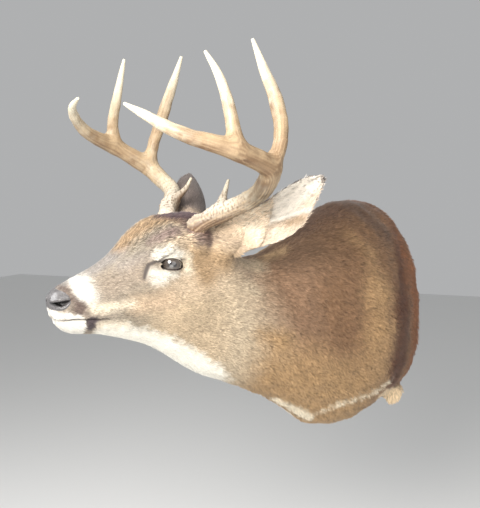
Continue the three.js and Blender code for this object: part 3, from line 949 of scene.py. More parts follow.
def shape_muzzle(points, normals):
    """Rounds the nose, opens the nostrils and draws the lips and the groove under the nose."""
    head = on_head(points)
    near = head[:, 0] < 110
    behind, side, up = head[near].T
    push = np.zeros(len(behind))
    points[near] += (3.2 * hump(behind, 14) * MM)[:, None] * HEAD_AXES[0]
    beside = step(6, 10, np.abs(side)) * fall(27, 33, behind)
    gap = nostril_gap(behind, up)
    push -= NOSTRIL["deep"] * step(-0.7, 1.8, gap) * beside
    push += 1.5 * hump(gap + 2.4, 1.7) * beside * step(50, 56, up + 0.1 * behind)
    lip = up - lip_line(behind)
    mouth = fall(78, 92, behind)
    for at, reach, height in LIP_RELIEF:
        push += height * hump(lip - at, reach) * mouth
    groove = hump(side, 1.3) * fall(2, 10, behind) * step(27, 31, up) * fall(50, 60, up)
    push -= 1.5 * groove
    points[near] += (push * MM)[:, None] * normals[near]
    return points


# Soft forms of the skin: behind, side and up, reach along and upwards, and how far they stand out.
FACE_FORMS = (
    (120, 40, 88, 26, 12, -1.6),
    (150, 48, 62, 34, 9, 1.4),
    (60, 26, 62, 22, 10, 1.0),
    (235, 62, 55, 26, 34, 1.5),
    (262, 60, 108, 16, 20, -2.0),
)


def shape_face(points, normals):
    behind, side, up = on_head(points).T
    push = np.zeros(len(points))
    for at_behind, at_side, at_up, long, tall, rise in FACE_FORMS:
        apart = ((behind - at_behind) / long) ** 2 + ((up - at_up) / tall) ** 2
        apart += ((np.abs(side) - at_side) / 22) ** 2
        push += rise * np.exp(-apart)
    points += (push * MM)[:, None] * normals
    return points


# Creases of the neck and shoulders on both sides: from, to, reach, and how far they sink.
CREASES = (
    ((706, 96, 175), (692, 114, 110), 16, 2.0),
    ((692, 114, 110), (668, 135, -50), 18, 2.5),
    ((668, 135, -50), (680, 124, -150), 16, 2.0),
    ((330, 52, 100), (395, 67, 49), 9, 3.0),
    ((395, 67, 49), (410, 74, 20), 9, 1.5),
)
NAPE_HOLLOW = ((375, 16, 108), (415, 12, 118), 12, 14, 16)


def shape_body(points, normals, body):
    place = both_sides(body)
    place[:, 0] += ripple(body, 60, 21) * 4
    push = ripple(body, 45, 22) * 0.9 * step(300, 380, body[:, 0])
    push -= 6.0 * stroke(place, *NAPE_HOLLOW)
    for start, end, reach, depth in CREASES:
        near = np.linalg.norm(place - np.array(start), axis=1) < 250
        push[near] -= depth * stroke(place[near], start, end, 0, 0, reach)
    points += (push * MM)[:, None] * normals
    return points


def shape_ear(points, normals, hand):
    share, low, deep, _ = on_ear(points, hand)
    inner = inner_ear(share, low, deep, normals, hand)
    fold_at, held = ear_fold(share)
    push = 4.6 * hump(low - fold_at, 3.4) * held
    push -= 2.2 * hump(low - fold_at - 7, 4.0) * held
    past = past_arc(share, low)
    push += 3.4 * step(-26, -3, past) * fall(-1.5, 1.5, past) * step(0.1, 0.2, share)
    push -= 1.4 * hump(past - 4, 4)
    push += 0.45 * np.sin(low / 2.6 + 1.5 * np.sin(share * 7)) * step(0.3, 0.5, share)
    points += (push * inner * MM)[:, None] * normals
    return points


def fine_face(centres):
    """Where the skin needs fine faces: round the eyes, and on the nose and lips."""
    behind, _, up = on_head(centres).T
    pick = (behind < 42) | ((behind < 98) & (np.abs(up - lip_line(behind)) < 8))
    for hand in SIDES:
        front, above, out = on_eye(centres, hand)
        pick |= (np.abs(front - 8) < 38) & (np.abs(above + 2) < 26) & (out > -4)
    return pick


def finest_face(centres):
    """Where it needs the finest: the rims of the lids, the nostrils and the line of the lips."""
    behind, side, up = on_head(centres).T
    pick = (behind < 34) & (nostril_gap(behind, up) > -4.5) & (np.abs(side) > 4)
    pick |= (behind < 92) & (np.abs(up - lip_line(behind)) < 3)
    for hand in SIDES:
        front, above, out = on_eye(centres, hand)
        outside, _ = from_lids(front, above)
        tear = np.hypot((front - 24) / 12, (above + 4) / 7) < 1
        lids = (outside > -4) & (outside < 8)
        pick |= (lids | tear) & (np.abs(above) < 22) & (out > -2) & (out < 30)
    return pick


def make_ear(hand):
    """One ear's skin: a thin leaf with its inner folds, closed all round."""
    piece = joined_nodes((f"ear_{SIDES[hand]}",), "ear")
    mesh = remesh(piece, EAR_GRAIN)
    edges = edges_of(mesh)
    points = kept_round(corners_of(mesh), edges, 10)
    share, low, _, _ = on_ear(points, hand)
    scoop = step(0.06, 0.16, share) * fall(0.42, 0.55, share) * fall(16, 26, np.abs(low))
    points = averaged(points, edges, 60, 0.5 * scoop)
    move_corners(mesh, points)
    points = points - normals_of(mesh) * EAR_SUNK * MM
    move_corners(mesh, points)
    move_corners(mesh, shape_ear(points, normals_of(mesh), hand))
    return piece


def kept_round(points, edges, times):
    """Smooths without shrinking: each step in is followed by nearly the same step out."""
    for _ in range(times):
        points = averaged(points, edges, 1, 0.5)
        points = averaged(points, edges, 1, -0.52)
    return points


def plug(bm, at, radius):
    made = bmesh.ops.create_icosphere(bm, subdivisions=4, radius=radius * MM)
    bmesh.ops.translate(bm, verts=made["verts"], vec=Vector(at))


FINE_HEAD = 265  # how far behind the nose the skin's faces are halved
EAR_FOOT = (0.045, 0.075)  # how near an ear's foot the skin is rounded, in metres
EAR_SUNK = 0.8  # how far an ear's skin lies under its coat
# What fills the foot of an ear: balls so far along it, with their radii.
EAR_PLUGS = ((-28, 36), (-6, 31), (12, 27), (24, 23))
ANTLER_PLUG = {"from_burr": (-2, -11, -27), "radius": 30}


def make_flesh():
    """The flesh in one closed piece, with its sockets and the feet of ears and antlers filled."""
    piece = joined_nodes(FLESH + ("eye_left", "eye_right"), "hide")
    bm = bmesh.new()
    bm.from_mesh(piece.data)
    for hand in SIDES:
        base, axes = ear_axes(hand)
        for along, radius in EAR_PLUGS:
            plug(bm, base + axes[0] * along * MM + axes[2] * (0.1 * along) * MM, radius)
        behind, side, up = (b + off for b, off in zip(BURR, ANTLER_PLUG["from_burr"]))
        plug(bm, head_point(behind, hand * side, up), ANTLER_PLUG["radius"])
    bm.to_mesh(piece.data)
    bm.free()
    remesh(piece, SKIN_GRAIN)
    return piece


def sink_flesh(mesh):
    """Sinks the flesh by the coat's depth, all but its flat rear, and shapes its features."""
    points, edges = corners_of(mesh), edges_of(mesh)
    off_rear = fall(-WALL["roots"], -0.001, points[:, 1])
    ear_feet = np.zeros(len(points))
    for hand in SIDES:
        base, _ = ear_axes(hand)
        ear_feet += fall(*EAR_FOOT, np.linalg.norm(points - base, axis=1))
    points = averaged(points, edges, 5, 0.6 * off_rear)
    points = averaged(points, edges, 14, 0.5 * np.clip(ear_feet, 0, 1))
    move_corners(mesh, points)
    body, _ = on_body(points)
    depth = averaged(coat_depth(body), edges, 3) * off_rear
    points = points - normals_of(mesh) * (depth * MM)[:, None]
    move_corners(mesh, points)
    points = shape_face(points, normals_of(mesh))
    points = shape_body(points, normals_of(mesh), body)
    points = shape_eyes(points)
    move_corners(mesh, points)
    points = shape_muzzle(points, averaged(normals_of(mesh), edges, 3))
    move_corners(mesh, points)


def join_ear(piece, hand):
    ear = make_ear(hand)
    join = piece.modifiers.new("join", "BOOLEAN")
    join.operation = "UNION"
    join.solver = "MANIFOLD"
    join.object = ear
    baked(piece)
    bpy.data.objects.remove(ear)


def soften_seams(mesh):
    """Rounds the skin where the ears join it, and keeps all of it off the wall."""
    points = corners_of(mesh)
    seam = np.zeros(len(points))
    for hand in SIDES:
        share, low, deep, _ = on_ear(points, hand)
        along = step(-0.25, -0.1, share) * fall(0.14, 0.24, share)
        seam += along * fall(50, 75, np.hypot(low, deep))
    points = averaged(points, edges_of(mesh), 10, 0.5 * np.clip(seam, 0, 1))
    points[:, 1] = np.minimum(points[:, 1], -WALL["skin"])
    move_corners(mesh, points)


def make_skin():
    piece = make_flesh()
    mesh = piece.data
    move_corners(mesh, kept_round(corners_of(mesh), edges_of(mesh), 5))
    refine(mesh, lambda centres: on_head(centres)[:, 0] < FINE_HEAD)
    refine(mesh, fine_face)
    refine(mesh, finest_face)
    sink_flesh(mesh)
    for hand in SIDES:
        join_ear(piece, hand)
    soften_seams(piece.data)
    return piece


# ---------------------------------------------------------------- the coat
PIECE_TRIANGLES = 190000  # the most in one piece of the coat
COAT_SEED = 7
# A tuft's corners are its root, two edges, a ridge and its tip.
TUFT_FACES = np.array([(0, 3, 1), (4, 1, 3), (0, 2, 3), (4, 3, 2), (0, 1, 2), (4, 2, 1)])
# How light each corner of a tuft is painted: the root darker as painted shade deep in the coat, the
# ridge lighter than the edges as a painted highlight, and the tip lightest.
TUFT_PAINTED_SHADING = np.array([0.72, 0.96, 0.96, 1.02, 1.08])
TUFT_LEAN = np.array([0.0, 0.5, -0.5, 0.0, 0.0])  # how far each corner faces sideways
# How far behind the nose, and the tufts' length, width and spacing there.
TUFT_LENGTH = ((0, 40, 110, 200, 290, 400, 600), (3.4, 4.4, 5.6, 6.6, 8.0, 10.0, 11.0))
TUFT_WIDTH = ((0, 60, 200, 300, 450, 650), (0.75, 0.85, 1.0, 1.2, 1.4, 1.5))
TUFT_SPACE = ((0, 60, 200, 300, 450, 650), (1.02, 1.12, 1.38, 1.66, 1.94, 2.02))
EAR_TUFT = {
    "length": 5.5, "width": 0.85, "lift": 0.9, "space": 1.35,
    "inner_length": 4.5, "inner_lift": 0.5,
}
# How tufts differ in size and direction, their form as shares of their length and width, and how
# far their roots are sunk.
TUFT = {
    "smallest": 0.72, "largest": 1.2, "scatter": 0.13, "sway": 0.16,
    "curve": (0.35, 0.75), "widest_at": 0.5, "ridge": 0.3, "sunk": 0.5,
}
PATCH = 0.0015  # half the size of a tuft's patch on the map


def laid_flat(way, normals):
    """Directions turned to run along the skin."""
    return units(way - normals * (way * normals).sum(1)[:, None])


def lie_of_coat(points, normals, body, row):
    """Which way the hair lies: back along the animal and down its sides, and out along the ears."""
    behind, side, up = body.T
    droop = 0.2 + 0.45 * step(280, 420, behind) * fall(0.5, 0.95, crestward(side, up))
    droop += 1.8 * step(690, 735, behind)
    way = -MID_AHEAD[row] - MID_UP[row] * droop[:, None]
    for hand in SIDES:
        off = points - eye_axes(hand)[0]
        apart = np.linalg.norm(off, axis=1) / MM
        way += off / (apart * MM)[:, None] * (0.7 * fall(18, 42, apart))[:, None]
        *_, weight = on_ear(points, hand)
        tip_way = ear_axes(hand)[1][0]
        way += (tip_way * 1.02 - way) * weight[:, None]
    swirl = ripples(points / MM, 26, (41, 42, 43)) * 0.16
    swirl += ripples(points / MM, 7, (44, 45, 46)) * 0.13
    way += swirl * np.linalg.norm(way, axis=1)[:, None]
    return laid_flat(way, normals)


def bare(points):
    """True where no hair grows: between the lids, in the nostrils, on the leather, along the lips
    and the tear lines, and by the wall."""
    head = on_head(points)
    behind, _, up = head.T
    naked = (leather_edge(head) < 1.0) & (behind < 60)
    naked |= (nostril_gap(behind, up) > -0.5) & (behind < 32)
    naked |= (np.abs(up - lip_line(behind)) < 1.6) & (behind < 84)
    for hand in SIDES:
        front, above, out = on_eye(points, hand)
        near = (np.hypot(front, above) < 30) & (np.abs(out) < 30)
        naked[near] |= from_lids(front[near], above[near])[0] < 0.9
    naked |= points[:, 1] > -WALL["roots"]
    near = by_eyes(head)
    for ahead_of_it in (0, 2.5, 4.5):
        naked[near] |= tear_line(head[near] + (ahead_of_it, 0, 0)) > 0.45
    return naked


def grown_on(mesh, spacing, rng):
    """Strews roots over the skin, and gives a way to read the skin's own values at them."""
    mesh.calc_loop_triangles()
    triangles = numbers_of(mesh.loop_triangles, "vertices", 3, int)
    points = corners_of(mesh) / MM
    a, b, c = (points[triangles[:, k]] for k in range(3))
    area = np.linalg.norm(np.cross(b - a, c - a), axis=1) / 2
    wanted = area / spacing[triangles].mean(1) ** 2
    total = np.cumsum(wanted)
    count = int(total[-1])
    picked = np.searchsorted(total, (np.arange(count) + rng.random(count)) * total[-1] / count)
    picked = np.minimum(picked, len(triangles) - 1)
    u, v = rng.random(count), rng.random(count)
    over = u + v > 1
    u[over], v[over] = 1 - u[over], 1 - v[over]
    share = np.stack([1 - u - v, u, v], 1)
    corners = triangles[picked]

    def read(values):
        return np.einsum("nk,nk...->n...", share, values[corners])

    return read


def tufts(root, way, normal, length, width, lift, colour, rng):
    """The corners of tufts, their colours and which way they face, a row for each tuft."""
    count = len(root)
    side = np.cross(normal, way)
    sway = rng.normal(0, TUFT["sway"], count)
    curve = rng.uniform(*TUFT["curve"], count)
    half = TUFT["widest_at"]
    sideways = length * sway * half * half * 0.6
    middle = root + way * (length * half)[:, None] + side * sideways[:, None]
    middle = middle + normal * (lift * half**curve)[:, None]
    edge = side * (width * 0.5)[:, None]
    tip = root + way * length[:, None] + side * (length * sway)[:, None] + normal * lift[:, None]
    sunk_root = root - normal * TUFT["sunk"] * MM
    ridge = middle + normal * (width * TUFT["ridge"])[:, None]
    places = np.stack([sunk_root, middle + edge, middle - edge, ridge, tip], 1)
    # Each tuft is painted darker at its root and lighter along its ridge: painted shade and painted
    # highlight.
    colours = colour[:, None, :] * TUFT_PAINTED_SHADING[None, :, None]
    facing = normal[:, None, :] + side[:, None, :] * TUFT_LEAN[None, :, None]
    return places, colours, units(facing)


def unwrap(points, body, normals):
    """Each root's place on a map of the skin: round the body and along it, with the ears apart."""
    behind, side, up = body.T
    around = np.arctan2(side, up) / (2 * math.pi) + 0.5
    along = np.interp(behind, (0, 300, 780), (0, 0.42, 0.8))
    place = np.stack([0.01 + around * 0.98, 0.01 + along], 1)
    half_ear = 55  # half of an ear's width
    for hand, corner in ((1, 0.02), (-1, 0.52)):
        share, low, deep, weight = on_ear(points, hand)
        inner = inner_ear(share, low, deep, normals, hand) > 0.5
        leaf = weight > 0.5
        across = (np.clip(low, -half_ear, half_ear) + half_ear) / (2 * half_ear) * 0.22
        across = corner + np.where(inner, 0.0, 0.235) + across
        place[leaf, 0] = across[leaf]
        place[leaf, 1] = 0.83 + np.clip(share[leaf], 0, 1.05) * 0.155
    return place


def mesh_of_tufts(name, places, colours, facing, patch, material):
    """One piece of the coat, with each tuft on its own patch of the map."""
    count, corners = places.shape[:2]
    mesh = bpy.data.meshes.new(name)
    mesh.vertices.add(count * corners)
    mesh.vertices.foreach_set("co", places.reshape(-1))
    index = (TUFT_FACES[None] + (np.arange(count) * corners)[:, None, None]).reshape(-1)
    mesh.loops.add(len(index))
    mesh.loops.foreach_set("vertex_index", index)
    mesh.polygons.add(len(index) // 3)
    mesh.polygons.foreach_set("loop_start", np.arange(0, len(index), 3))
    mesh.update(calc_edges=True)
    mesh.polygons.foreach_set("use_smooth", np.ones(len(mesh.polygons), bool))
    paint(mesh, "coat", colours.reshape(-1, 3))
    spread = np.zeros((corners, 2))
    spread[:, 1] = np.linspace(-PATCH, PATCH, corners)
    spread[1:-1, 0] = (PATCH, -PATCH, 0)
    flat_map = (patch[:, None, :] + spread[None]).reshape(-1, 2)
    layer = mesh.uv_layers.new(name="OFBake")
    layer.data.foreach_set("uv", flat_map[index].reshape(-1))
    mesh.normals_split_custom_set_from_vertices(facing.reshape(-1, 3))
    mesh.materials.append(material)
    return link(mesh, name)


def coat_sizes(points, normals, body):
    """Length, width, height and spacing of the tufts, in millimetres."""
    behind, _, up = body.T
    forms = (TUFT_LENGTH, TUFT_WIDTH, TUFT_SPACE)
    length, width, space = (np.interp(behind, *form) for form in forms)
    lift = coat_depth(body) * 0.9
    forehead = step(112, 122, behind) * step(100, 130, up) * fall(290, 330, behind)
    length += 6 * forehead
    width += 0.2 * forehead
    for hand in SIDES:
        apart = np.linalg.norm(points - eye_axes(hand)[0], axis=1) / MM
        length *= 1 - 0.5 * fall(20, 42, apart)
    for hand in SIDES:
        share, low, deep, weight = on_ear(points, hand)
        inner = inner_ear(share, low, deep, normals, hand)
        on_ears = (
            EAR_TUFT["length"] + EAR_TUFT["inner_length"] * inner * fall(0.8, 0.95, share),
            EAR_TUFT["width"],
            EAR_TUFT["lift"] + EAR_TUFT["inner_lift"] * inner,
            EAR_TUFT["space"],
        )
        for value, there in zip((length, width, lift, space), on_ears):
            value += (there - value) * weight
    return length, width, lift, space


def grizzled(colour, place, rng):
    """Gives each tuft its own shade: dashes along the coat, with dark and light hairs, most on the
    forehead and least where the coat is pale."""
    along = place * (0.4, 1, 1)
    grizzle = 0.14 * ripple(along, 2.8, 51)
    grizzle = grizzle - 0.24 * step(0.3, 1.4, ripple(along, 3.2, 54))
    grizzle = grizzle + 0.2 * step(0.6, 1.7, ripple(along, 3.2, 55))
    grizzle += 0.05 * ripple(place, 16, 52) + rng.normal(0, 0.15, len(place))
    behind, _, up = place.T
    forehead = step(116, 124, behind) * step(122, 136, up) * fall(225, 260, behind)
    grizzle = 1 + grizzle * (1 + 1.3 * forehead)
    grizzle = 1 + (grizzle - 1) * (1 - 0.7 * step(0.42, 0.65, colour.min(axis=1)))
    return colour * np.clip(grizzle, 0.45, 1.7)[:, None]


def grow_coat(skin, material):
    """Grows tufts all over the skin, in pieces one behind the other."""
    rng = np.random.default_rng(COAT_SEED)
    mesh = skin.data
    points, normals = corners_of(mesh), normals_of(mesh)
    body, row = on_body(points)
    length, width, lift, space = coat_sizes(points, normals, body)
    way = lie_of_coat(points, normals, body, row)
    read = grown_on(mesh, space, rng)
    root, normal, place = read(points), units(read(normals)), read(body)
    direction = read(way)
    size = np.stack([read(v) for v in (length, width, lift)], 1)
    keep = ~bare(root)
    root, normal, place, direction, size = (v[keep] for v in (root, normal, place, direction, size))
    count = len(root)
    direction = laid_flat(direction + rng.normal(0, TUFT["scatter"], (count, 3)), normal)
    colour = grizzled(coat_colour(root, normal, place), place, rng)
    size = size * rng.uniform(TUFT["smallest"], TUFT["largest"], (count, 1)) * MM
    size[:, 2] *= np.clip(1 + 0.22 * ripple(place, 8, 53) + rng.normal(0, 0.15, count), 0.3, 1.7)
    patch = unwrap(root, place, normal)
    places, colours, facing = tufts(root, direction, normal, *size.T, colour, rng)
    places[:, :, 1] = np.minimum(places[:, :, 1], -WALL["tufts"])
    order = np.argsort(place[:, 0])
    pieces = math.ceil(count * len(TUFT_FACES) / PIECE_TRIANGLES)
    for number, rows in enumerate(np.array_split(order, pieces), start=1):
        parts = (v[rows] for v in (places, colours, facing, patch))
        coat = mesh_of_tufts(f"coat_{number}", *parts, material)
        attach(coat, "root")


# ---------------------------------------------------------------- nose leather
def make_nose(skin):
    """The bare leather over the muzzle's end, a little proud of the skin and closed behind."""
    bm = bmesh.new()
    bm.from_mesh(skin.data)
    head = on_head(np.array([f.calc_center_median() for f in bm.faces]))
    keep = (leather_edge(head) < 1.05) & (head[:, 0] < LEATHER_END)
    bmesh.ops.delete(bm, geom=[f for f, yes in zip(bm.faces, keep) if not yes], context="FACES")
    mesh = bpy.data.meshes.new("nose_leather")
    bm.to_mesh(mesh)
    bm.free()
    points, normals = corners_of(mesh), normals_of(mesh)
    place = on_head(points)
    proud = LEATHER["proud"] * fall(0.86, 1.04, leather_edge(place)) - LEATHER["sunk"]
    behind, side, up = place.T
    # Painted shade inside the nostrils: the leather is painted nearly black there.
    inside = step(-0.8, 0.8, nostril_gap(behind, up)) * step(5, 8, np.abs(side))
    paint(mesh, "leather", np.repeat((1 - 0.93 * inside)[:, None], 3, axis=1))
    pebbles = np.abs(ripple(points / MM, 3.2, 61)) * 0.22
    move_corners(mesh, points + normals * ((proud + pebbles) * MM)[:, None])
    piece = link(mesh, "nose_leather")
    wall = piece.modifiers.new("wall", "SOLIDIFY")
    wall.thickness = LEATHER["thick"] * MM
    wall.offset = -1
    baked(piece)
    dress(piece.data, leather_material())
    smooth(piece.data)
    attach(piece, "root")


def leather_material():
    material, tree, surface = plain("nose leather", (0.06, 0.052, 0.05), 0.3, Coat_Roughness=0.14)
    place = object_place(tree)
    pebbles = {"Vector": place, "Scale": 620.0}
    cells = node(tree, "ShaderNodeTexVoronoi", pebbles, feature="DISTANCE_TO_EDGE")
    seams = node(tree, "ShaderNodeMapRange", {"Value": cells.outputs["Distance"], "From Max": 0.28})
    shade = blend_colour(tree, noise(tree, place, 90.0), (0.075, 0.07, 0.072), (0.26, 0.25, 0.25))
    pebbled = blend_colour(tree, seams.outputs["Result"], (0.05, 0.045, 0.046), shade)
    # The nostrils' painted shade darkens the colour and takes the clear coat away there.
    depth = painted(tree, "leather")
    tint(tree, surface, pebbled, depth)
    tree.links.new(depth, surface.inputs["Coat Weight"])
    bump(tree, surface, seams.outputs["Result"], 0.6, 0.0006)
    return material


# ---------------------------------------------------------------- eyes
PUPIL = {"long": 6.8, "tall": 4.2, "power": 2.4}
IRIS = {"radius": 15.0, "colour": (0.066, 0.053, 0.044)}
RIM_COLOUR = (0.04, 0.035, 0.035)
PUPIL_COLOUR = (0.024, 0.022, 0.023)


def glass_ball(centre, axes, radius, around=72, rings=44):
    """Corners and faces of a ball in rings round its own axis, closest together in front."""
    points, faces = [centre + axes[2] * radius], []
    for ring in range(1, rings):
        tilt = math.pi * (ring / rings) ** 1.35
        for k in range(around):
            turn = 2 * math.pi * k / around
            ray = axes[0] * math.cos(turn) + axes[1] * math.sin(turn)
            points.append(centre + (axes[2] * math.cos(tilt) + ray * math.sin(tilt)) * radius)
    points.append(centre - axes[2] * radius)
    last = 1 + (rings - 2) * around
    for k in range(around):
        after = (k + 1) % around
        faces += [(0, 1 + k, 1 + after), (len(points) - 1, last + after, last + k)]
        for ring in range(rings - 2):
            a, b = 1 + ring * around, 1 + (ring + 1) * around
            faces.append((a + k, b + k, b + after, a + after))
    return points, faces


def eye_colour(front, above):
    """The pupil, the streaked iris and the dark rim round it."""
    power = PUPIL["power"]
    share = np.abs(front / PUPIL["long"]) ** power + np.abs(above / PUPIL["tall"]) ** power
    share = share ** (1 / power)
    pupil = fall(0.92, 1.08, share)[:, None]
    turn = np.arctan2(above, front)
    streak = 0.5 + 0.5 * np.sin(turn * 37 + 2 * np.sin(turn * 11)) * np.sin(turn * 23)
    iris = np.array(IRIS["colour"]) * (0.7 + 0.6 * streak)[:, None]
    rim = step(IRIS["radius"] - 1.5, IRIS["radius"] + 0.5, np.hypot(front, above))[:, None]
    colour = iris * (1 - rim) + np.array(RIM_COLOUR) * rim
    return colour * (1 - pupil) + np.array(PUPIL_COLOUR) * pupil


def make_eye(hand):
    """A glass eye, with rings of corners that keep the edges of pupil and iris clean."""
    centre, axes = eye_axes(hand)
    points, faces = glass_ball(centre, axes, EYE["radius"] * MM)
    mesh = bpy.data.meshes.new("eye")
    mesh.from_pydata([tuple(p) for p in points], [], faces)
    piece = link(mesh, f"eye_glass_{SIDES[hand]}")
    front, above, _ = on_eye(np.array(points), hand)
    paint(mesh, "glass", eye_colour(front, above))
    recalculate(mesh)
    smooth(mesh)
    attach(piece, "root")
    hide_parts("eye_left" if hand == 1 else "eye_right")
    return piece


def recalculate(mesh):
    bm = bmesh.new()
    bm.from_mesh(mesh)
    bmesh.ops.recalc_face_normals(bm, faces=bm.faces)
    bm.to_mesh(mesh)
    bm.free()


def glass_material():
    clear = {"Coat_Weight": 1.0, "Coat_Roughness": 0.02, "Coat_IOR": 1.7}
    material, tree, surface = plain("eye glass", (0.05, 0.03, 0.02), 0.12, **clear)
    depth = noise(tree, object_place(tree), 260.0, 2.0)
    shade = blend_colour(tree, depth, (0.8, 0.8, 0.8), (1.15, 1.15, 1.15))
    tint(tree, surface, painted(tree, "glass"), shade)
    return material


# ---------------------------------------------------------------- antlers
def stem_line(points, hand, count):
    """Points at even steps along a smooth line through a stem's own points, in metres."""
    points = np.array([head_point(b, hand * s, u) for b, s, u in points])
    knots = run_along(points)
    slopes = np.gradient(points, knots, axis=0)
    t = np.linspace(0, knots[-1], 400)
    row = np.clip(np.searchsorted(knots, t, side="right") - 1, 0, len(knots) - 2)
    span = (knots[row + 1] - knots[row])[:, None]
    x = (t - knots[row])[:, None] / span
    line = points[row] * (2 * x**3 - 3 * x**2 + 1) + points[row + 1] * (3 * x**2 - 2 * x**3)
    line += span * (slopes[row] * (x**3 - 2 * x**2 + x) + slopes[row + 1] * (x**3 - x**2))
    run = run_along(line)
    return read_line(line, run, np.linspace(0, run[-1], count))


def from_stem(points, line, radii):
    """How far points are outside a round stem of changing radius."""
    nearest = np.full(len(points), 1e9)
    for a, b, low, high in zip(line[:-1], line[1:], radii[:-1], radii[1:]):
        way = b - a
        t = np.clip((points - a) @ way / (way @ way), 0, 1)
        away = np.linalg.norm(points - a - t[:, None] * way, axis=1)
        nearest = np.minimum(nearest, away - low - (high - low) * t)
    return nearest


def drawn_to_antler(points, hand):
    """Moves points onto the outline of the stems, webbed smoothly together at the forks."""
    stems = []
    for kind, at in RACK[hand].items():
        is_beam = kind == "beam"
        count = 40 if is_beam else 14
        line = stem_line(at, hand, count)
        radii = np.interp(np.linspace(0, 1, count), *STEM_SIZES[kind]) * MM
        start = 0 if is_beam else 1  # a tine's first point lies inside the beam
        stems.append((line[start:], radii[start:]))

    def outside(at):
        near = [np.exp(np.clip(-from_stem(at, *stem) / (WEB * MM), -60, 60)) for stem in stems]
        return -WEB * MM * np.log(np.sum(near, axis=0))

    nudge, furthest = 1e-4, 0.004  # in metres: to find the slope, and for one move
    for _ in range(3):
        here = outside(points)
        ahead = [outside(points + way * nudge) for way in np.eye(3)]
        rise = np.stack([there - here for there in ahead], 1) / nudge
        rise /= np.maximum((rise**2).sum(1), 0.3)[:, None]
        points = points - rise * np.clip(here, -furthest, furthest)[:, None]
    return points


HORN = {
    "brown": (0.18, 0.105, 0.055),
    "pale": (0.44, 0.325, 0.20),
    "ivory": (0.69, 0.64, 0.51),
    "pits": (0.11, 0.065, 0.035),
    # At the foot: the underside dark brown, deepened by painted shade, the side half lit, and a
    # painted highlight along the top.
    "base": (0.15, 0.09, 0.055),
    "base half lit": (0.34, 0.285, 0.22),
    "base highlight": (0.55, 0.49, 0.41),
}
MIDDLE_TONE = {1: 0.45, -1: 0.66}  # between brown and pale
# Each beam is darker round its outer bend, and the darkening doubles on its underside as painted
# shade.
BEND_DARKENING = {1: 0.7, -1: 0.05}  # how dark each beam is on its outer bend
BEND_DARKENING_AT, BEND_DARKENING_REACH = 125, 60  # from the antler's foot
BURR_RADIUS = 9


def gutters_of(place, normals, to_tip, hand):
    """Long lines on the horn, above 0 in a gutter and below on a ridge, and how unworn they are."""
    lines = ripple(normals * 7.0 + place / 70, 1.9, 71 + hand, 18)
    return lines, step(15, 90, to_tip)


def antler_relief(place, normals, away, to_tip, hand):
    """How far the burr, pearls and gutters stand out, in millimetres."""
    lines, worn = gutters_of(place, normals, to_tip, hand)
    gutters = step(0.15, 1.1, lines) * worn
    rough = fall(60, 210, away) * step(10, 40, to_tip)
    pearls = np.clip(ripple(place, 6.5, 81 + hand), 0, None) * rough
    burr = np.abs(away - BURR_RADIUS)
    beads = np.clip(ripple(place, 5.0, 91 + hand), -0.2, None) * fall(4, 15, burr)
    gutter_depth = 0.45 + 0.55 * worn * fall(230, 420, away)
    push = -0.4 * gutters * gutter_depth + 0.8 * pearls + 1.2 * beads
    push += 2.4 * fall(3, 13, burr)
    push += 0.35 * ripple(place, 28, 101 + hand) * worn
    return push


def horn_colour(place, normals, away, to_tip, hand):
    """Brown below and pale above, as random tone and as painted shade and painted light, ivory at
    the tips, dark in the gutters and among the pearls.
    """
    lines, worn = gutters_of(place, normals, to_tip, hand)
    gutters = step(0.15, 1.1, lines) * worn
    brown, pale, ivory, pitted, base, base_half_lit, base_highlight = map(np.array, HORN.values())
    # upper is 1 on faces turned up and 0 on faces turned down; it paints light on top and shade
    # underneath.
    upper = 0.5 + 0.5 * np.clip(normals[:, 2] + 0.25 * ripple(place, 40, 111), -1, 1)
    tone = MIDDLE_TONE[hand] + 0.21 * ripple(place, 32, 112) + 0.55 * (upper - 0.5)
    colour = brown + (pale - brown) * np.clip(tone, 0, 1)[:, None]
    polished = fall(10, 150, to_tip + 12 * ripple(place, 14, 113))
    colour += (ivory - colour) * polished[:, None] * 0.95
    bend = fall(0, BEND_DARKENING_REACH, np.abs(away - BEND_DARKENING_AT))
    # Darker round the outer bend, most on the underside, which is painted shade.
    colour *= (1 - BEND_DARKENING[hand] * bend * (1 - 0.5 * upper))[:, None]
    # At the foot the colour follows the light: painted shade below, a painted highlight along the
    # top.
    facing_up = step(0.2, 0.55, upper)[:, None]
    at_base = base * (1 - facing_up) + base_half_lit * facing_up
    at_base += (base_highlight - at_base) * step(0.62, 0.95, upper)[:, None]
    colour += (at_base - colour) * fall(40, 120, away)[:, None]
    pits = step(0.1, 0.9, -ripple(place, 4.4, 114)) * fall(50, 150, away) * step(14, 24, away)
    colour += (pitted - colour) * np.clip(0.26 * gutters * worn + 0.7 * pits, 0, 0.85)[:, None]
    colour += (pale * 1.15 - colour) * (0.35 * step(0.1, 0.9, -lines) * worn)[:, None]
    return np.clip(colour, 0, 1)


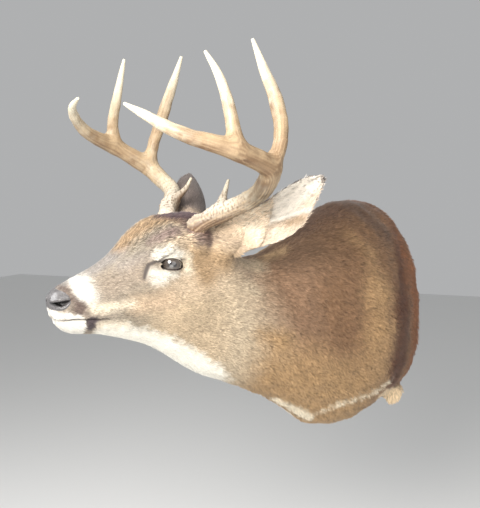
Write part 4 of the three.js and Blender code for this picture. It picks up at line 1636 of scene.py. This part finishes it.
def make_antler(hand):
    """One antler in one piece, with its burr, pearls and gutters."""
    names = [f"antler_{SIDES[hand]}_{part}" for part in ANTLER_PARTS]
    piece = joined_nodes(names, f"antler_{SIDES[hand]}")
    mesh = remesh(piece, ANTLER_GRAIN)
    edges, points = edges_of(mesh), corners_of(mesh)
    for _ in range(2):
        points = drawn_to_antler(averaged(points, edges, 6, 0.5), hand)
    points = kept_round(points, edges, 5)
    move_corners(mesh, points)
    normals = averaged(normals_of(mesh), edges, 4)
    foot, *tips = (head_point(behind, hand * side, up) for behind, side, up in (BURR, *ANTLER_TIPS))
    away = np.linalg.norm(points - foot, axis=1) / MM
    to_tip = np.min([np.linalg.norm(points - tip, axis=1) / MM for tip in tips], axis=0)
    at = (points / MM, normals, away, to_tip, hand)
    move_corners(mesh, points + normals * (antler_relief(*at) * MM)[:, None])
    paint(mesh, "horn", horn_colour(*at))
    smooth(mesh)
    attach(piece, "root")
    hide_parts(*names)
    return piece


def antler_material():
    material, tree, surface = plain("antler", (0.5, 0.38, 0.24), 0.42)
    grain = noise(tree, object_place(tree), 420.0, 5.0, 0.65)
    shade = blend_colour(tree, grain, (0.68, 0.66, 0.62), (1.22, 1.22, 1.22))
    tint(tree, surface, painted(tree, "horn"), shade)
    rough = node(tree, "ShaderNodeMapRange", {"Value": grain, "To Min": 0.33, "To Max": 0.62})
    tree.links.new(rough.outputs["Result"], surface.inputs["Roughness"])
    bump(tree, surface, grain, 0.3, 0.0003)
    return material


# ---------------------------------------------------------------- board and hanger
def plywood():
    material, tree, surface = plain("plywood", (0.5, 0.36, 0.2), 0.6)
    along_grain = {"Vector": object_place(tree), "Scale": (18, 60, 1.6)}
    stretched = node(tree, "ShaderNodeMapping", along_grain).outputs["Vector"]
    grain = noise(tree, stretched, 6.0, 5.0, 0.5)
    shade = blend_colour(tree, grain, (0.42, 0.28, 0.14), (0.66, 0.50, 0.31))
    tree.links.new(shade, surface.inputs["Base Color"])
    bump(tree, surface, grain, 0.3, 0.0008)
    return material


def zinc_steel():
    material, tree, surface = plain("zinc steel", (0.55, 0.56, 0.57), 0.35, Metallic=1.0)
    spangle = node(tree, "ShaderNodeTexVoronoi", {"Vector": object_place(tree), "Scale": 160.0})
    shade = blend_colour(tree, spangle.outputs["Distance"], (0.48, 0.49, 0.5), (0.68, 0.69, 0.7))
    tree.links.new(shade, surface.inputs["Base Color"])
    return material


def make_hide():
    """The skin, painted and dressed, in place of all the nodes of flesh."""
    hide = make_skin()
    dress(hide.data, skin_material())
    points, normals = corners_of(hide.data), normals_of(hide.data)
    body, _ = on_body(points)
    paint(hide.data, "coat", coat_colour(points, normals, body))
    smooth(hide.data)
    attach(hide, "root")
    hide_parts(*FLESH, "ear_left", "ear_right")
    return hide


# ---------------------------------------------------------------- run
stand_camera()
light_studio()
lay_floor()
hide = make_hide()
make_nose(hide)
glass = glass_material()
horn = antler_material()
for hand in SIDES:
    dress(make_eye(hand).data, glass)
    dress(make_antler(hand).data, horn)
grow_coat(hide, coat_material())
dress(nodes["back_board"].data, plywood())
dress(nodes["hanger_plate"].data, zinc_steel())
